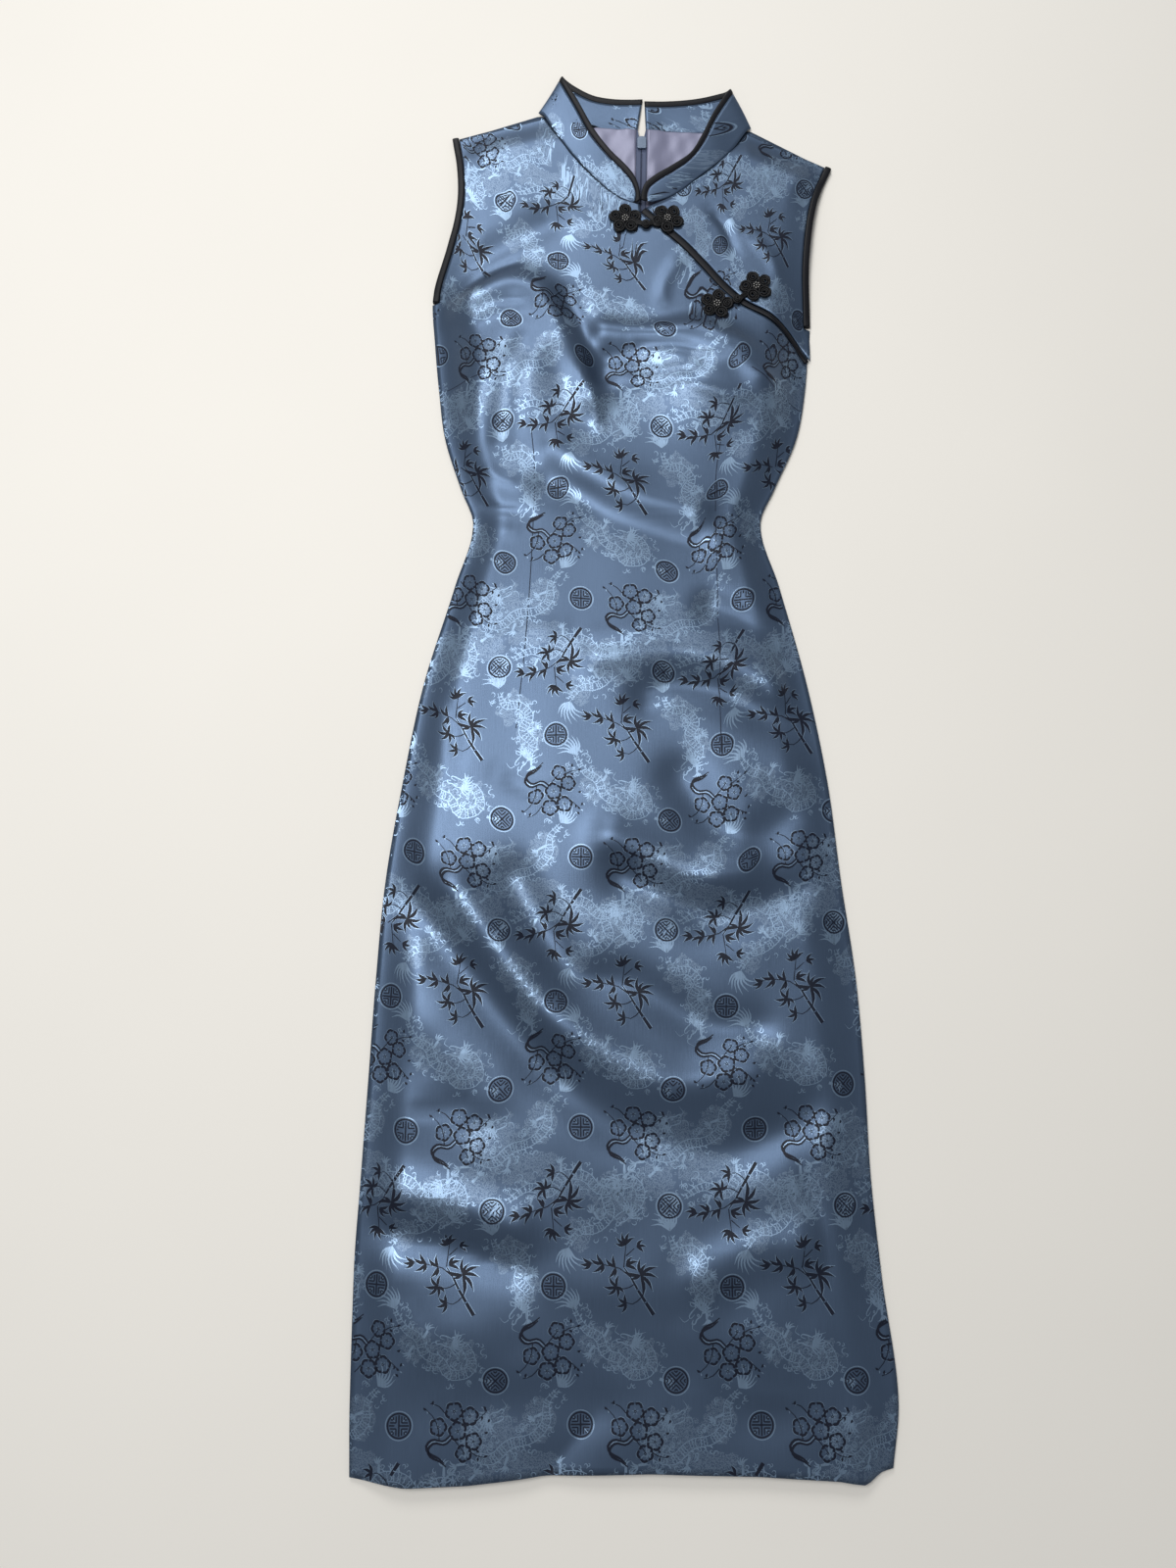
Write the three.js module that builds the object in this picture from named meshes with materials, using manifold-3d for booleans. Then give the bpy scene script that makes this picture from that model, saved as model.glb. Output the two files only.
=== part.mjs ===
// Cheongsam: a long sleeveless dress of satin brocade, laid on its back on a flat surface.
// Millimetres. +Z is up from the surface, +Y points to the neck, and +X is to the right of
// someone who looks down at the front. The origin is on the surface, under the middle of the dress.
import * as THREE from "three";
import { mergeVertices } from "three/addons/utils/BufferGeometryUtils.js";
import Module from "manifold-3d";

// Cloth and trimmings
const clothThickness = 1.2;
const bindingThickness = 1.8;
const bindingWidth = 6.5;
const tapeThickness = 1.0; // zip tapes and lining
const seamGap = 0.3;
const layGap = 0.6; // under a piece that lies on a curved panel
const seamHeight = 2 * clothThickness + seamGap; // top of the front where it meets the back

// Rows and columns of the cloth walls
const frontColumns = 16;
const skirtRows = 25;
const bustRows = 10;
const underarmRows = 3;
const diagonalRows = 9;
const neckRows = 9;
const armRows = diagonalRows + neckRows - underarmRows;
const collarStations = 33;
const collarColumns = [0, 0.5, 1];
const neckSteps = 24;
const collarGap = 0.8; // between the curved edges of front and collar
const leastCollar = 1.5; // narrowest collar cloth beside its binding
const liningColumns = 5;
const steepest = 0.55; // least upward share of a cloth's normal
const foldSteps = 8; // straight steps along each stretch of a fold
const foldAngles = [0.25, 0.5, 0.75].map((share) => share * Math.PI); // of the binding over the shoulder

const finishes = {
  brocade: { color: 0x5f7593, roughness: 0.42, metalness: 0 },
  binding: { color: 0x10111a, roughness: 0.4, metalness: 0 },
  cord: { color: 0x0c0c10, roughness: 0.6, metalness: 0 },
  lining: { color: 0x8f90ab, roughness: 0.45, metalness: 0 },
  tape: { color: 0x5c6684, roughness: 0.7, metalness: 0 },
  slider: { color: 0x6f7c90, roughness: 0.5, metalness: 0.2 },
};

// Left and right outlines from the hem up: side seam, armhole, shoulder tip
const leftOutline = [
  { x: -227, y: -647 },
  { x: -228.5, y: -590 },
  { x: -228.5, y: -489 },
  { x: -225, y: -409 },
  { x: -221, y: -327 },
  { x: -217, y: -242 },
  { x: -211, y: -156 },
  { x: -198, y: -67 },
  { x: -181, y: 25 },
  { x: -154, y: 119 },
  { x: -138, y: 181 },
  { x: -150, y: 215 },
  { x: -166, y: 265 },
  { x: -173, y: 315 },
  { x: -178, y: 365 },
  { x: -181, y: 407 },
  { x: -168, y: 461 },
  { x: -161, y: 490 },
  { x: -158, y: 520 },
  { x: -160, y: 553 },
  { x: -165, y: 583 },
];
const rightOutline = [
  { x: 222, y: -640 },
  { x: 228.5, y: -590 },
  { x: 218.5, y: -489 },
  { x: 212.5, y: -409 },
  { x: 210.5, y: -327 },
  { x: 206, y: -242 },
  { x: 196, y: -156 },
  { x: 187, y: -67 },
  { x: 171, y: 25 },
  { x: 148, y: 119 },
  { x: 132, y: 181 },
  { x: 146, y: 215 },
  { x: 168, y: 265 },
  { x: 178, y: 315 },
  { x: 181, y: 342 },
  { x: 185, y: 381 },
  { x: 184.5, y: 428 },
  { x: 187, y: 465 },
  { x: 191, y: 492 },
  { x: 198, y: 520 },
  { x: 211, y: 550 },
];
const waistY = 190; // rows lie closer together above this
const armhole = { leftY: 407, rightY: 381, lift: 7 }; // lift: how far the front edge gapes at its middle
const shoulders = {
  left: { neckX: -75, neckY: 609, tipX: -165, tipY: 583 },
  right: { neckX: 128, neckY: 591, tipX: 211, tipY: 550 },
  roll: 34, // length over which the front comes down to the shoulder seam
};

// Middle of the placket binding, from the right side up to the neck
const diagonal = [
  { x: 181, y: 344 },
  { x: 168, y: 361 },
  { x: 154.5, y: 374 },
  { x: 134.5, y: 389 },
  { x: 116, y: 400 },
  { x: 97, y: 420 },
  { x: 76, y: 447 },
  { x: 55.5, y: 470 },
  { x: 38, y: 486 },
  { x: 24, y: 500 },
];
const neckLeft = [
  { x: 20, y: 506.5 },
  { x: 1, y: 513.5 },
  { x: -24, y: 535.5 },
  { x: -48, y: 564.5 },
  { x: -63, y: 588 },
  { x: -75, y: 609 },
];
const neckRight = [
  { x: 26, y: 506.5 },
  { x: 52, y: 515 },
  { x: 74, y: 532 },
  { x: 97, y: 551.5 },
  { x: 115, y: 571 },
  { x: 128, y: 591 },
];

// Lower edge of the hem, left to right
const hemLine = [
  { x: -227, y: -647 },
  { x: -180, y: -653 },
  { x: -130, y: -651 },
  { x: -67, y: -644 },
  { x: 22, y: -642 },
  { x: 110, y: -644 },
  { x: 177, y: -648 },
  { x: 199, y: -652 },
  { x: 211, y: -643 },
  { x: 222, y: -640 },
];
const hemFade = 60; // how far up the cloth follows the hem's waves

// How the front lies: top of the cloth in the middle, and the width over which it rises from the side
const lie = [
  { y: -655, arch: 10, roll: 40 },
  { y: -560, arch: 11.5, roll: 40 },
  { y: -400, arch: 13, roll: 42 },
  { y: -100, arch: 13.5, roll: 42 },
  { y: 60, arch: 13.5, roll: 36 },
  { y: 181, arch: 12.5, roll: 30 },
  { y: 270, arch: 17, roll: 40 },
  { y: 350, arch: 20, roll: 45 },
  { y: 420, arch: 17, roll: 40 },
  { y: 490, arch: 12, roll: 34 },
  { y: 560, arch: 10, roll: 30 },
  { y: 615, arch: 9, roll: 30 },
];

// Bust cups, given their room by the darts
const cups = [
  { x: -92, y: 338, rx: 58, ry: 50, height: 15 },
  { x: 92, y: 322, rx: 64, ry: 46, height: 15 },
];

// Largest folds: a soft ridge, or a trough where height is negative, along each line of points
const folds = [
  { part: "bust", width: 17, height: 8, points: [[-165, 388], [-101, 416], [-67, 398], [-45, 355], [-28, 300]] },
  { part: "bust", width: 13, height: -9, points: [[-52, 400], [-38, 366], [-18, 322]] },
  { part: "bust", width: 13, height: 7, points: [[-14, 366], [29, 363], [77, 367], [105, 352], [133, 318]] },
  { part: "bust", width: 14, height: -7, points: [[-8, 338], [30, 330], [66, 330]] },
  { part: "chest", width: 18, height: -4, points: [[-150, 425], [-125, 452], [-70, 486]] },
  { part: "dart", width: 13, height: -8, points: [[-112, 262], [-106, 312], [-90, 352]] },
  { part: "waist", width: 16, height: -4, points: [[-66, 216], [-38, 203], [-12, 184], [26, 168], [68, 154]] },
  { part: "waist", width: 16, height: 5, points: [[-60, 250], [-20, 224], [20, 204], [70, 190]] },
  { part: "hip", width: 15, height: -4, points: [[84, 96], [112, 84], [150, 58], [168, 14]] },
  { part: "hip", width: 16, height: -4, points: [[24, 14], [44, 22], [82, 17], [118, 2], [176, -32]] },
  { part: "hip", width: 17, height: 4, points: [[-20, 50], [40, 56], [96, 46], [140, 20]] },
  { part: "hip", width: 20, height: -4, points: [[54, -64], [82, -105], [112, -122], [150, -100]] },
  { part: "skirt", width: 20, height: 5, points: [[-8, -118], [30, -140], [64, -152], [104, -146]] },
  { part: "skirt", width: 20, height: -4.5, points: [[3, -150], [43, -166], [77, -186], [112, -180], [158, -165]] },
  { part: "skirt", width: 20, height: -4.5, points: [[-96, -156], [-70, -200], [-39, -240], [9, -248], [75, -282], [112, -285]] },
  { part: "skirt", width: 22, height: 6, points: [[-150, -160], [-112, -214], [-74, -262], [-24, -300], [46, -330], [112, -318]] },
  { part: "skirt", width: 22, height: -4.5, points: [[-186, -176], [-142, -224], [-104, -272], [-50, -334], [10, -372], [90, -386], [158, -352]] },
  { part: "hem", width: 18, height: 3, points: [[-206, -420], [-150, -430], [-92, -448]] },
  { part: "hem", width: 18, height: -3, points: [[-210, -452], [-150, -466], [-92, -478]] },
  { part: "hem", width: 18, height: 3, points: [[66, -488], [104, -470], [146, -462]] },
  { part: "hem", width: 18, height: -1.6, points: [[-62, -636], [-42, -616], [-22, -594]] },
];

// Mandarin collar halves from the centre back, round the side fold to the centre front. sx, sy, sz are
// on the neck seam and tx, ty, tz on the top edge, at the middle of the cloth. In front, neck is the
// share of the front neck seam from the neck point, and the collar is level with the front there.
const collarLeft = [
  { lie: "back", sx: 19.3, sy: 594.6, sz: 0.9, tx: 24.8, ty: 630.6, tz: 0.9 },
  { lie: "back", sx: 7, sy: 595.3, sz: 0.9, tx: 14, ty: 630.2, tz: 0.9 },
  { lie: "back", sx: -11, sy: 596.6, sz: 0.9, tx: -6, ty: 631, tz: 0.9 },
  { lie: "back", sx: -30, sy: 599.4, sz: 0.9, tx: -25, ty: 635, tz: 0.9 },
  { lie: "back", sx: -52, sy: 604.6, sz: 0.9, tx: -43, ty: 645, tz: 0.9 },
  { lie: "back", sx: -70, sy: 610.2, sz: 0.9, tx: -51.5, ty: 651.5, tz: 1.2 },
  { lie: "fold", sx: -77.6, sy: 613.2, sz: 1.3, tx: -54.6, ty: 654, tz: 2.3 },
  { lie: "fold", sx: -79, sy: 613.2, sz: 3, tx: -55.6, ty: 654.2, tz: 3.6 },
  { lie: "fold", sx: -75.6, sy: 611, sz: 4.4, tx: -54.4, ty: 651, tz: 5.8 },
  { lie: "front", neck: 0.18, tx: -39.6, ty: 621.5, tz: 9.5 },
  { lie: "front", neck: 0.38, tx: -24.4, ty: 589.4, tz: 12 },
  { lie: "front", neck: 0.64, tx: -8, ty: 564.2, tz: 14 },
  { lie: "front", neck: 0.78, tx: 7, ty: 547.4, tz: 14.6 },
  { lie: "front", neck: 0.88, tx: 15, ty: 536.5, tz: 14.4 },
  { lie: "front", neck: 0.93, tx: 19.2, ty: 526.5, tz: 13.8 },
  { lie: "front", neck: 0.945, tx: 20.9, ty: 518, tz: 13 },
  { lie: "front", neck: 0.965, tx: 21.2, ty: 511, tz: 12.2 },
];
const collarRight = [
  { lie: "back", sx: 27.7, sy: 594.5, sz: 0.9, tx: 26.6, ty: 628.4, tz: 0.9 },
  { lie: "back", sx: 46, sy: 594.2, sz: 0.9, tx: 46, ty: 628.2, tz: 0.9 },
  { lie: "back", sx: 68.6, sy: 592.4, sz: 0.9, tx: 68, ty: 629.6, tz: 0.9 },
  { lie: "back", sx: 88, sy: 592, sz: 0.9, tx: 84, ty: 632, tz: 0.9 },
  { lie: "back", sx: 106, sy: 593, sz: 0.9, tx: 99, ty: 635.8, tz: 0.9 },
  { lie: "back", sx: 123, sy: 595, sz: 0.9, tx: 108.6, ty: 638.6, tz: 1.2 },
  { lie: "fold", sx: 131, sy: 596.2, sz: 1.3, tx: 111.6, ty: 640, tz: 2.3 },
  { lie: "fold", sx: 132.2, sy: 595.8, sz: 3, tx: 112.6, ty: 640, tz: 3.6 },
  { lie: "fold", sx: 128.8, sy: 593, sz: 4.4, tx: 110.6, ty: 636.6, tz: 5.8 },
  { lie: "front", neck: 0.18, tx: 94.6, ty: 609, tz: 9.5 },
  { lie: "front", neck: 0.36, tx: 82, ty: 581, tz: 12 },
  { lie: "front", neck: 0.58, tx: 71, ty: 561.4, tz: 14 },
  { lie: "front", neck: 0.71, tx: 52.6, ty: 547.2, tz: 14.6 },
  { lie: "front", neck: 0.81, tx: 35.6, ty: 536.4, tz: 14.4 },
  { lie: "front", neck: 0.88, tx: 25.6, ty: 527.5, tz: 13.8 },
  { lie: "front", neck: 0.93, tx: 22.2, ty: 517.5, tz: 13 },
  { lie: "front", neck: 0.95, tx: 21.8, ty: 511, tz: 12.2 },
];

// Centre back seam, and the back's neck seam from each neck point to it
const centreBack = { neckX: 23.5, neckY: 594, hemX: 0, hemY: -642 };
const backNeck = {
  left: [
    { x: -77.6, y: 611.4 },
    { x: -70, y: 609 },
    { x: -52, y: 603.6 },
    { x: -30, y: 598.6 },
    { x: -11, y: 596 },
    { x: 19.4, y: 594 },
  ],
  right: [
    { x: 130.8, y: 594.8 },
    { x: 123, y: 593.8 },
    { x: 106, y: 592 },
    { x: 88, y: 591.2 },
    { x: 68.6, y: 591.6 },
    { x: 27.6, y: 594 },
  ],
};
const backTurn = 400; // the back's rows below this are spread like the side seam's
const backHigh = [470, 505, 532, 548, 560, 572, 583, 594]; // rows of the back near the zip's top
const neckPointAt = 0.5; // share of the back's width, from the centre, at the neck point
const backColumns = [0, 0.04, 0.08, 0.12, 0.2, 0.35, neckPointAt, 0.75, 1];
const pullFrom = 440; // the back's rows bend to the neck seam above this

const zip = { openFrom: 575, openWidth: 8.2, tapeWidth: 10 };
const tapeYs = [60, 300, 500, 532, 548, 560, 572, 583, 593.4];
const slider = { width: 8.6, length: 13, height: 2.2, ahead: 2, shoulder: 2.2, nose: 1 };
const bridge = { neck: 1, reach: 2.5, legThickness: 1.2, barThickness: 0.6, headroom: 0.75 };

// Pull tab, hanging from the slider on the outside of the back, so under the dress
const tab = {
  hingeY: 582,
  hingeZ: 1.5,
  length: 22,
  width: 4.6,
  thickness: 0.9,
  armWidth: 0.8,
  pinWidth: 0.8,
  eyeLength: 4,
  waist: 6, // where it starts to widen
  flare: 0.7,
  round: 1.6,
};
// Room for it under the backs. spread: how much wider the cloth inside them is lifted.
const tent = { halfWidth: 7, fade: 14, lift: 2.3, bottom: 548, top: 590, spread: 5.5 };

// Back neck lining: its outer edges, down from the neck seam
const lining = [
  { y: 505, left: { x: -6, y: 505 }, right: { x: 50, y: 505 } },
  { y: 532, left: { x: -16, y: 532 }, right: { x: 64, y: 532 } },
  { y: 548, left: { x: -22, y: 549 }, right: { x: 73, y: 547 } },
  { y: 560, left: { x: -28, y: 562 }, right: { x: 81, y: 559 } },
  { y: 572, left: { x: -33, y: 575 }, right: { x: 88, y: 570 } },
  { y: 583, left: { x: -39, y: 588 }, right: { x: 96, y: 580 } },
  { y: 593.4, left: { x: -44, y: 600 }, right: { x: 104, y: 590.4 } },
];

// Frog fastenings: two cord flowers, and between them a knot with a stem and a loop
const flower = {
  radius: 13.2,
  petals: 5,
  petalDepth: 0.2,
  steps: 20,
  rings: [[0, 3.4], [0.3, 3.6], [0.72, 4.6], [1, 1.6]], // share of the radius, height
};
const knot = { radius: 4.4, steps: 10, rings: [[0, 6], [0.6, 5.4], [1, 2.4]] };
const cord = { width: 5.2, height: 3.6, stations: 3 };
const frogs = [
  {
    name: "frog_1",
    left: { x: 6.3, y: 488.5, turn: 0.3 },
    right: { x: 47.5, y: 489.5, turn: 0.9 },
    knot: { x: 26.5, y: 482.5 },
  },
  {
    name: "frog_2",
    left: { x: 92.7, y: 394.5, turn: 0.1 },
    right: { x: 132, y: 414, turn: 0.6 },
    knot: { x: 113, y: 399.5 },
  },
];

const dress = new THREE.Group();
dress.name = "cheongsam";

// ---- Small helpers ----

function smooth(t) {
  const s = Math.min(1, Math.max(0, t));
  return s * s * (3 - 2 * s);
}

function mix(a, b, t) {
  return a + (b - a) * t;
}

// Value of a column at y, in a table whose rows rise in y
function lookUp(rows, column, y) {
  if (y <= rows[0].y) return rows[0][column];
  for (let i = 1; i < rows.length; i++) {
    const low = rows[i - 1];
    const high = rows[i];
    if (y <= high.y) return mix(low[column], high[column], (y - low.y) / (high.y - low.y));
  }
  return rows[rows.length - 1][column];
}

// A smooth curve through the rows of a table
function curveThrough(rows, keys = ["x", "y"]) {
  const [kx, ky, kz] = keys;
  const points = rows.map((row) => new THREE.Vector3(row[kx], row[ky], kz ? row[kz] : 0));
  return new THREE.CatmullRomCurve3(points, false, "centripetal");
}

function segmentDistance(x, y, a, b) {
  const dx = b[0] - a[0];
  const dy = b[1] - a[1];
  const t = Math.min(1, Math.max(0, ((x - a[0]) * dx + (y - a[1]) * dy) / (dx * dx + dy * dy)));
  return Math.hypot(x - a[0] - t * dx, y - a[1] - t * dy);
}

// ---- The lie of the front ----

const foldLines = folds.map((fold) => {
  const curve = curveThrough(fold.points.map(([x, y]) => ({ x, y })));
  const line = curve.getPoints(foldSteps * (fold.points.length - 1)).map((p) => [p.x, p.y]);
  return { ...fold, line };
});

function foldHeight(x, y) {
  let height = 0;
  for (const fold of foldLines) {
    let nearest = Infinity;
    for (let i = 1; i < fold.line.length; i++) {
      nearest = Math.min(nearest, segmentDistance(x, y, fold.line[i - 1], fold.line[i]));
    }
    height += fold.height * Math.exp(-((nearest / fold.width) ** 2));
  }
  for (const cup of cups) {
    const r = ((x - cup.x) / cup.rx) ** 2 + ((y - cup.y) / cup.ry) ** 2;
    height += cup.height * Math.exp(-r);
  }
  return height;
}

// Top of the front cloth at a point
function frontHeight(x, y) {
  const onLeft = x < centreBack.neckX;
  const side = Math.min(x - lookUp(leftOutline, "x", y), lookUp(rightOutline, "x", y) - x);
  const fromSide = smooth(side / lookUp(lie, "roll", y));
  const shoulder = onLeft ? shoulders.left : shoulders.right;
  const along = Math.min(1, Math.max(0, (x - shoulder.neckX) / (shoulder.tipX - shoulder.neckX)));
  const seamY = mix(shoulder.neckY, shoulder.tipY, along);
  const fromShoulder = smooth((seamY - y) / shoulders.roll);
  const body = lookUp(lie, "arch", y) + foldHeight(x, y) - seamHeight;
  const underarmY = onLeft ? armhole.leftY : armhole.rightY;
  const upArmhole = (y - underarmY) / (shoulder.tipY - underarmY);
  const gape = upArmhole > 0 && upArmhole < 1 ? armhole.lift * Math.sin(Math.PI * upArmhole) : 0;
  return seamHeight + body * fromSide * fromShoulder + gape * (1 - fromSide) * fromShoulder;
}

// ---- Meshes ----

// A closed body from two grids of the same size, outer (top) and inner, both [row][column]
function bodyBetween(outer, inner) {
  const rows = outer.length;
  const cols = outer[0].length;
  const positions = [];
  for (const grid of [outer, inner]) {
    for (const row of grid) {
      for (const p of row) positions.push(p.x, p.y, p.z);
    }
  }
  const at = (layer, r, c) => layer * rows * cols + r * cols + c;
  const faces = [];
  const quad = (a, b, c, d) => faces.push(a, b, c, a, c, d);
  for (let r = 1; r < rows; r++) {
    for (let c = 1; c < cols; c++) {
      quad(at(0, r - 1, c - 1), at(0, r - 1, c), at(0, r, c), at(0, r, c - 1));
      quad(at(1, r - 1, c - 1), at(1, r, c - 1), at(1, r, c), at(1, r - 1, c));
    }
  }
  for (let c = 1; c < cols; c++) {
    quad(at(0, 0, c - 1), at(1, 0, c - 1), at(1, 0, c), at(0, 0, c));
    quad(at(0, rows - 1, c), at(1, rows - 1, c), at(1, rows - 1, c - 1), at(0, rows - 1, c - 1));
  }
  for (let r = 1; r < rows; r++) {
    quad(at(0, r, 0), at(1, r, 0), at(1, r - 1, 0), at(0, r - 1, 0));
    quad(at(0, r - 1, cols - 1), at(1, r - 1, cols - 1), at(1, r, cols - 1), at(0, r, cols - 1));
  }
  const geometry = new THREE.BufferGeometry();
  geometry.setAttribute("position", new THREE.Float32BufferAttribute(positions, 3));
  geometry.setIndex(faces);
  return pointOut(geometry);
}

// Turns every face over if the body's volume comes out negative
function pointOut(geometry) {
  const p = geometry.attributes.position;
  const index = geometry.index.array;
  const [a, b, c] = [new THREE.Vector3(), new THREE.Vector3(), new THREE.Vector3()];
  let volume = 0;
  for (let i = 0; i < index.length; i += 3) {
    a.fromBufferAttribute(p, index[i]);
    b.fromBufferAttribute(p, index[i + 1]);
    c.fromBufferAttribute(p, index[i + 2]);
    volume += a.dot(b.cross(c));
  }
  if (volume < 0) {
    for (let i = 0; i < index.length; i += 3) [index[i], index[i + 1]] = [index[i + 1], index[i]];
  }
  geometry.computeVertexNormals();
  return geometry;
}

// Unit normals of a grid of points
function gridNormals(grid) {
  return grid.map((row, r) =>
    row.map((_, c) => {
      const east = row[Math.min(c + 1, row.length - 1)].clone().sub(row[Math.max(c - 1, 0)]);
      const north = grid[Math.min(r + 1, grid.length - 1)][c].clone().sub(grid[Math.max(r - 1, 0)][c]);
      return east.cross(north).normalize();
    }),
  );
}

function offsetGrid(grid, normals, distance) {
  return grid.map((row, r) => row.map((p, c) => p.clone().addScaledVector(normals[r][c], distance)));
}

function addPiece(name, geometry, finish) {
  const mesh = new THREE.Mesh(geometry, new THREE.MeshStandardMaterial(finishes[finish]));
  mesh.name = name;
  dress.add(mesh);
  return mesh;
}

// A wall of cloth below a grid of points on its top. The lower side is straight below, by as much
// more than the thickness as the slope asks, and never into the back.
function clothWall(top, thickness) {
  const normals = gridNormals(top);
  const inner = top.map((row, r) =>
    row.map((p, c) => {
      const drop = thickness / Math.max(steepest, Math.abs(normals[r][c].z));
      return new THREE.Vector3(p.x, p.y, Math.max(p.z - drop, clothThickness + seamGap));
    }),
  );
  return bodyBetween(top, inner);
}

// A wall with the grid at the middle of its thickness
function middleWall(grid, thickness) {
  const normals = gridNormals(grid);
  return bodyBetween(offsetGrid(grid, normals, thickness / 2), offsetGrid(grid, normals, -thickness / 2));
}

// Grid of straight rows between two edges, each placed by place(x, y)
function spanEdges(leftEdge, rightEdge, columns, place) {
  return leftEdge.map((left, r) =>
    evenly(0, 1, columns + 1).map((u) => place(mix(left.x, rightEdge[r].x, u), mix(left.y, rightEdge[r].y, u))),
  );
}

// ---- Outlines, moved in where a binding edges them ----

// Points along a stretch of an outline, as many as its run of y values
function alongOutline(rows, ys) {
  return ys.map((y) => ({ x: lookUp(rows, "x", y), y }));
}

function evenly(from, to, count) {
  return Array.from({ length: count }, (_, i) => mix(from, to, i / (count - 1)));
}

// Moves a run of points sideways, by distance to the left of its direction
function shiftRun(run, distance) {
  return run.map((p, i) => {
    const before = run[Math.max(0, i - 1)];
    const after = run[Math.min(run.length - 1, i + 1)];
    const dx = after.x - before.x;
    const dy = after.y - before.y;
    const length = Math.hypot(dx, dy);
    return { x: p.x - (dy / length) * distance, y: p.y + (dx / length) * distance };
  });
}

// The hem's y at x, and the pull of that wavy line on cloth near it
const hemRows = hemLine.map((p) => ({ y: p.x, hem: p.y }));
const hemLeft = hemLine[0];
const hemRight = hemLine[hemLine.length - 1];
function onHem(x, y) {
  const straight = mix(hemLeft.y, hemRight.y, (x - hemLeft.x) / (hemRight.x - hemLeft.x));
  const share = 1 - smooth((y - hemLeft.y) / hemFade);
  return y + (lookUp(hemRows, "hem", x) - straight) * share;
}

const boundInset = bindingWidth + seamGap;
const underarmStep = 3; // where the cloth steps in to the armhole's binding
const slantStep = 15; // the same on the shoulder panel, whose rows slant
const leftArm = alongOutline(leftOutline, evenly(armhole.leftY, shoulders.left.tipY, armRows));
const rightArm = alongOutline(rightOutline, evenly(armhole.rightY, shoulders.right.tipY, armRows));
const leftArmCloth = shiftRun(leftArm, -boundInset);
const rightArmCloth = shiftRun(rightArm, boundInset);
const diagonalRun = curveThrough(diagonal).getSpacedPoints(diagonalRows - 1);
const neckLeftRun = curveThrough(neckLeft).getSpacedPoints(neckRows - 1);
const placketInset = bindingWidth / 2 + layGap;

// ---- Front ----

const placketY = diagonal[0].y - placketInset;
const bodyRows = [...evenly(hemLeft.y, waistY, skirtRows), ...evenly(waistY, placketY, bustRows).slice(1)];

function makeFrontMain() {
  const rightHem = [hemRight.y, ...bodyRows.slice(1)];
  const left = [
    ...alongOutline(leftOutline, bodyRows),
    ...alongOutline(leftOutline, evenly(placketY, armhole.leftY - underarmStep, underarmRows + 1)).slice(1),
    ...leftArmCloth,
  ];
  const right = [...alongOutline(rightOutline, rightHem), ...shiftRun(diagonalRun, placketInset), ...neckLeftRun];
  return spanEdges(left, right, frontColumns, (x, y) => {
    const hung = onHem(x, y);
    return new THREE.Vector3(x, hung, frontHeight(x, hung));
  });
}
addPiece("front_main", clothWall(makeFrontMain(), clothThickness), "brocade");

// A patch between four edge curves, each from its start to its end, at the height of the front
function patch(lower, upper, left, right) {
  const rows = left.length - 1;
  const columns = lower.length - 1;
  return left.map((a, r) => {
    const b = right[r];
    const v = r / rows;
    return lower.map((low, c) => {
      const u = c / columns;
      const high = upper[c];
      const across = (k) => mix(a[k], b[k], u) + mix(low[k], high[k], v);
      const corners = (k) => mix(mix(low0[k], low1[k], u), mix(high0[k], high1[k], u), v);
      const low0 = lower[0];
      const low1 = lower[columns];
      const high0 = upper[0];
      const high1 = upper[columns];
      const x = across("x") - corners("x");
      const y = across("y") - corners("y");
      return new THREE.Vector3(x, y, frontHeight(x, y));
    });
  });
}

function makeFrontShoulder() {
  const lower = shiftRun(diagonalRun, -placketInset).reverse();
  const side = alongOutline(rightOutline, [armhole.rightY - slantStep]);
  const arm = [lower[lower.length - 1], ...side, ...rightArmCloth];
  const neck = curveThrough([lower[0], ...neckRight.slice(1)]).getSpacedPoints(arm.length - 1);
  const neckEnd = neck[neck.length - 1];
  const tip = arm[arm.length - 1];
  const upper = lower.map((_, c) => {
    const u = c / (lower.length - 1);
    return { x: mix(neckEnd.x, tip.x, u), y: mix(neckEnd.y, tip.y, u) };
  });
  return patch(lower, upper, neck, arm);
}
addPiece("front_shoulder", clothWall(makeFrontShoulder(), clothThickness), "brocade");

// ---- Back, flat on the surface but for the room over the pull tab ----

function centreX(y) {
  return mix(centreBack.hemX, centreBack.neckX, (y - centreBack.hemY) / (centreBack.neckY - centreBack.hemY));
}

// Half the width between the two backs at y, where the zip is open
function halfOpen(y) {
  const open = Math.max(0, (y - zip.openFrom) / (centreBack.neckY - zip.openFrom));
  return mix(seamGap / 2, zip.openWidth / 2, Math.min(1, open));
}

function tentLift(x, y, spread = 0) {
  const across = smooth((Math.abs(x - centreX(y)) - tent.halfWidth - spread) / tent.fade);
  const below = smooth((tent.bottom - spread - y) / tent.fade);
  const above = smooth((y - tent.top - spread) / tent.fade);
  return tent.lift * (1 - across) * (1 - below) * (1 - above);
}

// Flat cloth with its lower face at rest on base, lifted over the pull tab
function flatWall(grid, base, thickness) {
  const spread = base > 0 ? tent.spread : 0;
  const lifted = (p, z) => new THREE.Vector3(p.x, p.y, z + tentLift(p.x, p.y, spread));
  const raise = (z) => grid.map((row) => row.map((p) => lifted(p, z)));
  return bodyBetween(raise(base + thickness), raise(base));
}

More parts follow.
